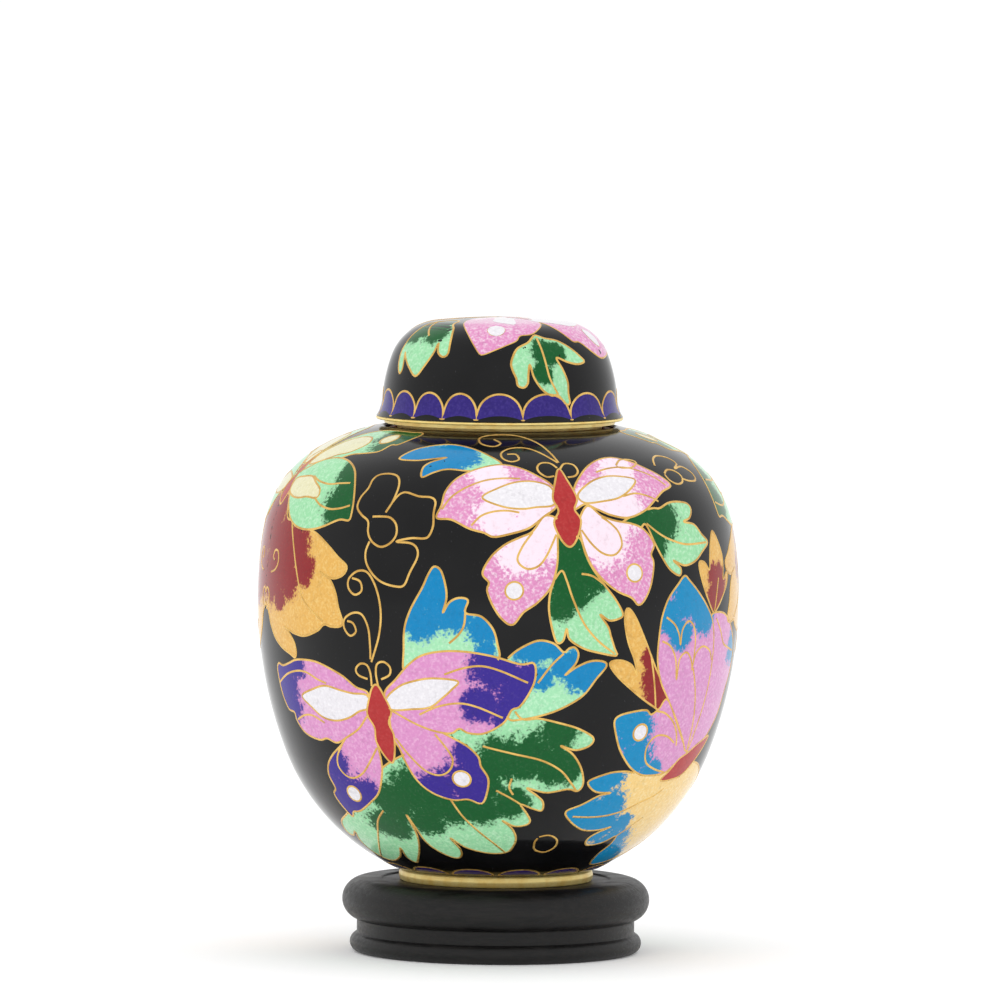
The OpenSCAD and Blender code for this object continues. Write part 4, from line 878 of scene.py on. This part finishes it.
def black_wood(name):
    """Turned hardwood, stained black and lacquered thin, so its grain and pores show."""
    n = Nodes(name)
    stretch = n.new("ShaderNodeMapping")
    stretch.inputs["Scale"].default_value = (0.12, 1.0, 1.6)
    n.link(n.place, stretch.inputs["Vector"])
    grain = n.noise(900, 6, 0.65, stretch.outputs[0])
    pores = n.ramp(n.noise(1900, 3, 0.6, stretch.outputs[0]), 0.3, 0.44)
    colour = n.mix(n.ramp(grain, 0.35, 0.7), srgb(8, 8, 8), srgb(27, 25, 24))
    n.link(colour, n.shader.inputs["Base Color"])
    n.link(n.ramp(grain, 0.3, 0.75, 0.34, 0.55), n.shader.inputs["Roughness"])
    n.bump(n.sum(pores, grain, 0.6), 0.35, 0.00012)
    return n.finish(IOR=1.5, Specular_IOR_Level=0.3)


def make_materials():
    pale = (252, 250, 250)
    return {
        "black": black_enamel("black_enamel"),
        "pink": enamel("pink_enamel", (216, 138, 186), (244, 224, 236), 0.5, pale),
        "violet": enamel("violet_enamel", (212, 140, 192), (52, 34, 138), 0.5, (240, 200, 226)),
        "bluewing": enamel("blue_wing_enamel", (210, 142, 192), (0, 134, 186), 0.5, (240, 200, 226)),
        "mint": enamel("mint_enamel", (150, 214, 162), (0, 84, 34), 0.5, (214, 246, 216)),
        "mintblue": enamel("mint_and_blue_enamel", (158, 220, 174), (0, 128, 184), 0.5, (214, 246, 216)),
        "creamblue": enamel("cream_and_blue_enamel", (238, 202, 128), (0, 134, 186), 0.5, (252, 236, 190)),
        "yellow": enamel("yellow_enamel", (222, 172, 86), (138, 30, 34), 0.45, (246, 216, 142)),
        "white": enamel("white_enamel", (226, 223, 228), None, 0.6, (246, 244, 247)),
        "cream": enamel("cream_enamel", (222, 218, 176), (186, 218, 164), 0.4, (246, 244, 220)),
        "red": enamel("red_enamel", (172, 44, 46), None, 0.12, (226, 120, 110)),
        "indigo": enamel("indigo_enamel", (46, 30, 118), None, 0.12, (120, 100, 200)),
        "turquoise": enamel("turquoise_enamel", (28, 150, 180), None, 0.3, (140, 214, 226)),
        "wire": gilt_wire("gilt_wire"),
        "gilt": spun_gilt("spun_gilt"),
        "copper": copper("spun_copper"),
        "wood": black_wood("black_lacquered_wood"),
    }


# ---- motifs ----
# Accents are where an enamel turns to its second colour: [across, up, reach].
PINK_PALE = [
    [-9, -1, 9], [-6, 4, 8], [9, 1, 9], [8, 7, 8], [-14, 6, 7], [14, 8, 8], [15, 16, 6], [-14, 15, 6],
    [2, 0, 7], [-2, 2, 8]
]
VIOLET_DARK = [
    [29, 4, 10], [23, 9.5, 8], [26, -1, 8], [19, 1.5, 6], [15, -17, 9.5], [7, -18.5, 7], [16, -10, 6],
    [-33, 2, 8], [-31, -3, 6], [-28, 7, 5], [-18, -23, 10], [-19.5, -14, 7], [-12, -22, 8],
    [-10, 8, 3.5]
]
SPRAY_DARK = [
    [8, 7, 8], [14, 7, 8], [19, 4, 7], [22, 2, 4], [2, 2, 9], [-4, -4, 9], [-11, -2, 10], [-17, -6, 8],
    [-20, -13, 6], [-10, -10, 6], [2, -5, 7], [20, 12, 6], [9, -4, 6], [-17, -14, 5]
]
GREEN_LEAF_DARK = [[1, -3, 10], [1, -10, 8], [6, -8, 5.5], [-1, -14, 5], [18, 4, 8], [24, 5, 7], [22, 0, 5]]
TOP_LEAF_BLUE = [[-27, 20, 7], [-22, 20, 6], [-18, 21, 5], [-26, 16, 4]]
TALL_LEAF_BLUE = [[9, 27, 9], [7, 20, 6], [15, 22, 6], [20, 18, 5], [11, 22, 6], [21, 13, 3]]
MID_LEAF_BLUE = [[-6, 10, 6], [-2, 10, 5], [6, 5, 7], [2, 6, 5], [10, 5, 5], [-9, 3, 5], [-3, 3, 4]]
GREEN_WING_DARK = [[9, 19, 9], [4, 20, 5], [11, 0, 9], [8, 7, 7], [6, 10, 5], [12, -4, 8]]
LILY_RED = [[-8, 8, 12], [-2, 9, 8], [-12, 2, 9], [-4, 2, 7], [2, 4, 5.5], [-15, 14, 10], [-8, -3, 4]]
BLUE_WING_BLUE = [
    [4, 25, 9], [9, 21, 7], [-3, 21, 6], [1, 17, 5], [-10, -4, 8], [-7, -11, 7], [-1, -15, 5],
    [27, 11, 6], [-13, -2, 5]
]
LOW_LEAF_BLUE = [
    [-21, -6, 8], [-22, 2, 6], [-14, -8, 7], [-16, -2, 6], [-7, -13, 8], [-9, -6, 4], [-2, -19, 8],
    [-20, 5, 6]
]
RED_LEAF_RED = [[-3.5, 2, 8], [-6, 7, 5.5], [-8, 12, 3.5]]
BUD_RED = [[4, -7, 7], [6, -3, 5], [3, -2, 4]]
LID_LEAF_DARK = [[0, 3, 4.5], [-1, -2, 3.5], [3, 3, 3.5]]
LEFT_LEAF_DARK = [[0, 9, 7], [-3, 6, 5], [4, 6, 4]]


class Motif:
    """Shapes, wires and spots on one panel, and what lies in front of them."""

    def __init__(self, panel, shapes, strands, accents, spots=(), fronts=(), lift=0.0):
        self.panel = panel
        self.accents = accents
        self.outlines = [(kind, smooth(line, True, WIRE_STEP)) for kind, line in shapes]
        self.strands = [(kind, smooth(line, False, WIRE_STEP)) for kind, line in strands]
        self.spots = [np.array(ellipse(u, v, SPOT_R, SPOT_R)) for u, v in spots]
        self.fronts = list(fronts)
        self.lift = lift

    def silhouettes(self, kinds=("body", "cell", "wing")):
        return [line for kind, line in self.outlines if kind in kinds]

    def fill(self, build, kind, slot=0, keep=None):
        for i, (own, line) in enumerate(self.outlines):
            if own != kind:
                continue
            cuts = [front for _, front in self.outlines[:i]]
            height = LIFT + self.lift + LAYER * (len(self.outlines) - i)
            patch(build, self.panel, line, cuts, self.fronts, self.accents.get(kind, []), height, slot, keep)

    def fill_spots(self, build):
        height = LIFT + self.lift + LAYER * (len(self.outlines) + 2)
        for line in self.spots:
            patch(build, self.panel, smooth(line, True, WIRE_STEP), [], [], [], height, 0)

    def wires(self, build, kinds, keep=None):
        insect = self.silhouettes()
        uncut = ("wing", "flower", "spray", "lily", "leaf")
        for i, (kind, line) in enumerate(self.outlines):
            if kind in kinds:
                cuts = [front for _, front in self.outlines[:i]]
                wire(build, self.panel, line, True, cuts, self.fronts, keep)
        for kind, line in self.strands:
            if kind in kinds:
                cuts = [] if kind in uncut else insect
                wire(build, self.panel, line, False, cuts, self.fronts, keep)
        if "wing" in kinds:
            for line in self.spots:
                wire(build, self.panel, smooth(line, True, WIRE_STEP / 2), True, [], [])


def make_motifs():
    """Every motif of the jar's front, at its place, with what hides it."""

    def motif(azimuth, height, shapes, strands, accents, spots=(), fronts=()):
        return Motif(Panel(JAR, azimuth, height), shapes, strands, accents, spots, fronts)

    def mirrored(accents):
        return [[-u, v, reach] for u, v, reach in accents]

    pink = motif(16, 95, PINK_SHAPES, PINK_STRANDS, {
        "wing": PINK_PALE,
        "green_leaf": GREEN_LEAF_DARK,
        "blue_leaf": TOP_LEAF_BLUE,
    }, [(-11.3, -10.6), (16.5, -6.9)])
    violet = motif(-26, 57, VIOLET_SHAPES, VIOLET_STRANDS, {
        "wing": VIOLET_DARK,
        "blue_leaf": TALL_LEAF_BLUE,
    }, [(13, -15.8), (-14.9, -21.2)])
    green = motif(-55, 103, GREEN_WINGS + GREEN_BODY, GREEN_VEINS, {
        "wing": GREEN_WING_DARK,
    }, [(4.8, 18.8)])
    far_green = motif(-93, 103, flipped(GREEN_WINGS), flipped(GREEN_VEINS), {
        "wing": mirrored(GREEN_WING_DARK),
    }, [(-4.8, 18.8)])
    blue = motif(48, 57, BLUE_SHAPES, BLUE_STRANDS, {
        "wing": BLUE_WING_BLUE,
        "red_leaf": RED_LEAF_RED,
    }, [(-7.5, -5)])
    pinks = [(pink.panel, pink.silhouettes())]
    violets = [(violet.panel, violet.silhouettes(("body", "cell", "wing", "blue_leaf")))]
    greens = [(green.panel, green.silhouettes()), (far_green.panel, far_green.silhouettes())]
    blues = [(blue.panel, blue.silhouettes())]
    return {
        "pink": pink,
        "violet": violet,
        "green": green,
        "far_green": far_green,
        "blue": blue,
        "spray": motif(-8, 40, SPRAY_SHAPES, SPRAY_STRANDS, {"spray": SPRAY_DARK}, (), violets),
        "mid": motif(14, 62, MID_SHAPES, MID_STRANDS, {"blue_leaf": MID_LEAF_BLUE}, (), pinks + violets),
        "lily": motif(-56, 83, LILY_SHAPES, LILY_STRANDS, {"lily": LILY_RED}, (), greens),
        "far_lily": motif(-92, 83, flipped(LILY_SHAPES), flipped(LILY_STRANDS), {
            "lily": mirrored(LILY_RED),
        }, (), greens),
        "low": motif(58, 36, LOW_SHAPES, LOW_STRANDS, {"blue_leaf": LOW_LEAF_BLUE}, (), blues),
        "bud": motif(60, 88, BUD_SHAPES, BUD_STRANDS, {"red_leaf": BUD_RED}, (), pinks + blues),
        "flower": motif(-28, 93, [], FLOWER_STRANDS, {}, (), greens + pinks + violets),
        "high": motif(60, 106, [], HIGH_STRANDS, {}),
        "ring": motif(18, 27, [], RING_STRANDS, {}),
    }


def near_half(points):
    """Left of the meridian where a lily and its mirror image meet."""
    turn = np.degrees(np.arctan2(points[:, 0], -points[:, 1]))
    return turn > MIRROR_AZ


def far_half(points):
    return ~near_half(points)


class Skirt(Panel):
    """The lid's skirt unrolled: across runs round it from an azimuth, up runs from the scallops' base."""

    def __init__(self, azimuth):
        self.profile = LID
        self.turn = math.radians(azimuth)

    def drop(self, uv):
        uv = np.asarray(uv, float)
        turn, z = self.turn + uv[:, 0] / SKIRT_R, SCALLOP_Z + uv[:, 1]
        r = np.interp(z, LID[:, 1], LID[:, 0])
        p = np.column_stack([r * np.sin(turn), -r * np.cos(turn), z])
        return p, on_skin(LID, p)


def arch(half, high, base, power):
    """A closed arch that stands on a straight base."""
    t = np.linspace(0, math.pi, ARCH_POINTS)
    rise = np.abs(np.sin(t)) ** (2 / power)
    return np.column_stack([half * np.cos(t), base + (high - base) * rise])


def layer(name, profile, rows, material, body, slot, nodes):
    """The black ground: a shell that follows a profile."""
    outer = [[r, z] for r, z, _, _, _ in profile[rows]]
    inner = [[r - nr * GROUND_T, z - nz * GROUND_T] for r, z, nr, nz, _ in profile[rows]]
    return lathe(name, outer + inner[::-1], material, body, slot, nodes)


def bead(centre_r, centre_z, radius, start, end, count):
    """Points round part of a bead, for a lathe; the angles are in radians up from outwards."""
    angles = np.linspace(start, end, count)
    return [[centre_r + radius * math.cos(t), centre_z + radius * math.sin(t)] for t in angles]


def make_stand(looks):
    small, large, core, bore = 2.15, 4.65, 0.6, 0.02
    small_r, large_r, waist_r, recess_r = 30.3, 29.55, 30.9, 25.5
    outline = [[bore, 0], [core, 0], [29.9, 0]]
    outline += bead(small_r, small, small, -1.57, 1.27, 14)
    outline += [[waist_r, 4.4], [waist_r, 7.0]]
    outline += bead(large_r, STAND_TOP - large, large, -1.26, 1.57, 26)
    outline += [[recess_r + 0.4, STAND_TOP], [recess_r, STAND_TOP - 0.1], [recess_r, FOOT_Z + 0.02]]
    outline += [[recess_r - 0.2, FOOT_Z], [recess_r - 0.7, FOOT_Z], [core, FOOT_Z], [bore, FOOT_Z]]
    lathe("turned_stand", outline, looks["wood"], "stand", "black_lacquer", ["stand"])


def make_foot_ring(looks):
    inner, edge, bulge, top = 20.1, 21.3, 21.68, FOOT_Z + 2.55
    corners = [[inner, FOOT_Z], [edge, FOOT_Z], [bulge, FOOT_Z + 1.3], [edge, top], [inner, top]]
    lathe("gilt_foot_ring", rounded(corners, 0.4), looks["gilt"], "jar", "gilt", ["foot_ring"])


def make_mouth_rim(looks):
    foot, middle = NECK_TOP - 2.25, NECK_TOP - 0.75
    corners = [[21.62, foot], [22.78, foot], [22.9, middle], [22.2, NECK_TOP], [21.5, middle]]
    lathe("gilt_mouth_rim", rounded(corners, 0.45), looks["gilt"], "jar", "gilt", ["mouth_rim"])


def make_lid_rim(looks):
    inner, edge, bulge, top = 24.42, 27.3, 27.5, LID_Z - 0.06
    corners = [[inner, RIM_Z], [edge, RIM_Z], [bulge, RIM_Z + 0.35], [edge, top], [inner, top]]
    lathe("gilt_lid_rim", rounded(corners, 0.25), looks["gilt"], "lid", "gilt", ["lid_rim"])


def make_grounds(looks):
    on_body = (JAR[:, 0] > SEAT_R + 0.15) | (JAR[:, 1] < BELLY_Z)
    rows = np.flatnonzero(on_body)[::2]
    layer("black_ground", JAR, rows, looks["black"], "jar", "black_enamel", ["ground_enamel"])
    rows = np.flatnonzero(LID[:, 0] > 0.2)
    layer("black_lid_ground", LID, rows, looks["black"], "lid", "black_enamel", ["lid_ground_enamel"])


def make_jar_ornament(looks):
    motifs = make_motifs()
    lilies = {"lily": near_half, "far_lily": far_half}

    def shapes(name, kind, owners, look, slot, node, spots=False, others=None):
        build = Build()
        for owner in owners:
            motifs[owner].fill(build, kind, (others or {}).get(owner, 0), lilies.get(owner))
            if spots:
                motifs[owner].fill_spots(build)
        build.repeated_behind()
        build.piece(name, [looks[n] for n in look.split()], "jar", slot, [node])

    def wires(name, kinds, owners, node):
        build = Build()
        for owner in owners:
            motifs[owner].wires(build, kinds, keep=lilies.get(owner))
        build.repeated_behind()
        build.piece(name, [looks["wire"]], "jar", "gilt", [node])

    greens = ["green", "far_green"]
    for colour, owners, look, pale, spots in (
            ("pink", ["pink"], "pink", "white", "cells"),
            ("violet", ["violet"], "violet", "white", "cells"),
            ("green", greens, "mint", "cream", "cells"),
            ("blue", ["blue"], "bluewing", "white", "spots")):
        insect = f"{colour}_butterfly"
        shapes(f"{colour}_wings", "wing", owners, look, f"{colour}_enamel", f"{insect}_wings")
        shapes(f"{colour}_{spots}", "cell", owners, pale, "white_enamel", f"{insect}_{spots}", True)
        shapes(f"{insect}_trunk", "body", owners[:1], "red", "red_enamel", f"{insect}_body")
        wires(f"{insect}_cloisons", ("wing", "cell", "body"), owners, f"{insect}_wires")
    everyone = list(motifs)
    shapes("lily_petals", "lily", ["lily", "far_lily"], "yellow", "yellow_enamel", "gold_lily_enamel")
    wires("lily_cloisons", ("lily",), ["lily", "far_lily"], "gold_lily_wires")
    shapes("spray_leaves", "spray", ["spray"], "mint", "green_enamel", "leaf_spray_enamel")
    wires("spray_cloisons", ("spray",), ["spray"], "leaf_spray_wires")
    shapes("green_leaves", "green_leaf", everyone, "mint", "green_enamel", "green_leaf_enamel")
    wires("green_leaf_cloisons", ("green_leaf",), everyone, "green_leaf_wires")
    shapes("blue_leaves", "blue_leaf", everyone, "mintblue creamblue", "blue_enamel",
        "blue_leaf_enamel", others={"low": 1})
    wires("blue_leaf_cloisons", ("blue_leaf",), everyone, "blue_leaf_wires")
    shapes("red_leaves", "red_leaf", everyone, "yellow", "red_enamel", "red_leaf_enamel")
    wires("red_leaf_cloisons", ("red_leaf", "flower"), everyone, "red_leaf_wires")


def make_lappets(looks):
    enamel_build, wire_build = Build(), Build()
    for i in range(LAPPETS):
        panel = Panel(JAR, 360 / LAPPETS * (i + 0.5), BODY_START[1] + 0.1)
        line = arch(LAPPET_W, LAPPET_H, LAPPET_BASE, 2)
        patch(enamel_build, panel, line, [], [], [], LIFT, 0)
        wire(wire_build, panel, line, True, [], [])
    enamel_build.piece("foot_lappets", [looks["indigo"]], "jar", "indigo_enamel", ["foot_lappet_enamel"])
    wire_build.piece("foot_lappet_cloisons", [looks["wire"]], "jar", "gilt", ["foot_lappet_wires"])


def make_lid_ornament(looks):
    fill, edge = Build(), Build()
    for a, b in zip(SCALLOP_EDGES, SCALLOP_EDGES[1:]):
        panel = Skirt((a + b) / 2)
        half = math.radians(b - a) * SKIRT_R / 2
        line = arch(half, SCALLOP_H, 0, SCALLOP_POWER)
        patch(fill, panel, line, [], [], [], SKIRT_LIFT, 0)
        wire(edge, panel, line, True, [], [])
    fill.piece("lid_scallops", [looks["indigo"]], "lid", "indigo_enamel", ["lid_scallop_enamel"])
    edge.piece("lid_scallop_cloisons", [looks["wire"]], "lid", "gilt", ["lid_scallop_wires"])

    crown = Motif(Crown(), CROWN_SHAPES, CROWN_STRANDS, {"wing": PINK_PALE}, [(-0.9, -18.4), (19.9, -6.4)],
        lift=CROWN_LIFT)
    for kind, name, look, slot in (("wing", "wings", "pink", "pink_enamel"), ("cell", "cells", "white",
            "white_enamel"), ("body", "body", "red", "red_enamel")):
        build = Build()
        crown.fill(build, kind)
        if kind == "cell":
            crown.fill_spots(build)
        build.piece(f"lid_{name}_patches", [looks[look]], "lid", slot, [f"lid_butterfly_{name}"])
    build = Build()
    crown.wires(build, ("wing", "cell", "body"))
    build.piece("lid_butterfly_cloisons", [looks["wire"]], "lid", "gilt", ["lid_butterfly_wires"])

    front = [(crown.panel, crown.silhouettes())]
    fill, edge = Build(), Build()
    for azimuth, height, rows, lines, dark in (
            (25, 132, NEAR_LEAF_SHAPES, NEAR_LEAF_STRANDS, LID_LEAF_DARK),
            (150, 132, NEAR_LEAF_SHAPES, NEAR_LEAF_STRANDS, LID_LEAF_DARK),
            (-55, 133.5, FAR_LEAF_SHAPES, FAR_LEAF_STRANDS, LEFT_LEAF_DARK),
            (-145, 133.5, FAR_LEAF_SHAPES, FAR_LEAF_STRANDS, LEFT_LEAF_DARK)):
        leaf = Motif(Panel(LID, azimuth, height), rows, lines, {"leaf": dark}, (), front)
        leaf.fill(fill, "leaf")
        leaf.wires(edge, ("leaf",))
    fill.piece("lid_leaves", [looks["mint"]], "lid", "green_enamel", ["lid_leaf_enamel"])
    edge.piece("lid_leaf_cloisons", [looks["wire"]], "lid", "gilt", ["lid_leaf_wires"])


def dress_cad(looks):
    """The sub-parts that stay as the CAD made them."""
    worn = {
        "copper": ["copper_lower_shell", "copper_upper_shell", "lid_copper"],
        "gilt": ["neck_collar"],
        "turquoise": ["lining_enamel", "base_enamel", "neck_enamel", "lid_lining_enamel"],
    }
    for look, nodes in worn.items():
        for node in nodes:
            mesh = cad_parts[node].data
            mesh.materials.clear()
            mesh.materials.append(looks[look])


# ---- stage ----
def make_floor():
    """A white floor, wide enough to fill the view from every side."""
    reach, white, glow = 30.0, 0.93, 0.12
    corners = [(-reach, -reach, 0), (reach, -reach, 0), (reach, reach, 0), (-reach, reach, 0)]
    mesh = bpy.data.meshes.new("floor")
    mesh.from_pydata(corners, [], [(0, 1, 2, 3)])
    material = bpy.data.materials.new("white_floor")
    material.use_nodes = True
    inputs = material.node_tree.nodes["Principled BSDF"].inputs
    inputs["Base Color"].default_value = (white, white, white, 1)
    inputs["Roughness"].default_value = 0.9
    inputs["Emission Color"].default_value = (1, 1, 1, 1)
    inputs["Specular IOR Level"].default_value = 0.0
    inputs["Emission Strength"].default_value = glow
    mesh.materials.append(material)
    floor = bpy.data.objects.new("floor", mesh)
    bpy.context.scene.collection.objects.link(floor)


def area_light(name, place, size, power):
    """A soft light that isn't mirrored in the enamel."""
    data = bpy.data.lights.new(name, "AREA")
    data.shape = "RECTANGLE"
    data.size, data.size_y = size
    data.energy = power
    light = bpy.data.objects.new(name, data)
    light.location = place
    light.rotation_euler = (Vector((0, 0, 0.08)) - Vector(place)).to_track_quat("-Z", "Y").to_euler()
    light.visible_glossy = False
    bpy.context.scene.collection.objects.link(light)


def make_lights():
    area_light("fill", (-0.6, -1.8, 1.2), (1.6, 1.2), 5)
    area_light("top", (0.1, 0.2, 1.9), (1.4, 1.4), 5)
    world = bpy.data.worlds.new("studio")
    world.use_nodes = True
    world.node_tree.nodes["Background"].inputs["Color"].default_value = (1, 1, 1, 1)
    world.node_tree.nodes["Background"].inputs["Strength"].default_value = 1.0
    bpy.context.scene.world = world


def make_camera():
    data = bpy.data.cameras.new("camera")
    data.lens, data.sensor_width, data.clip_end = 422, 36, 30
    pitch, roll, reach = math.radians(3.6), math.radians(0.47), 2.6
    aim = Vector((0, 0, 0.1009))
    camera = bpy.data.objects.new("camera", data)
    camera.location = aim + Vector((0, -reach * math.cos(pitch), reach * math.sin(pitch)))
    camera.rotation_euler = (math.pi / 2 - pitch, 0, 0)
    camera.rotation_euler.rotate_axis("Z", roll)
    bpy.context.scene.collection.objects.link(camera)
    bpy.context.scene.camera = camera


looks = make_materials()
make_stand(looks)
make_foot_ring(looks)
make_mouth_rim(looks)
make_lid_rim(looks)
make_grounds(looks)
make_jar_ornament(looks)
make_lappets(looks)
make_lid_ornament(looks)
dress_cad(looks)
make_floor()
make_lights()
make_camera()
bpy.context.scene.view_settings.view_transform = "Standard"
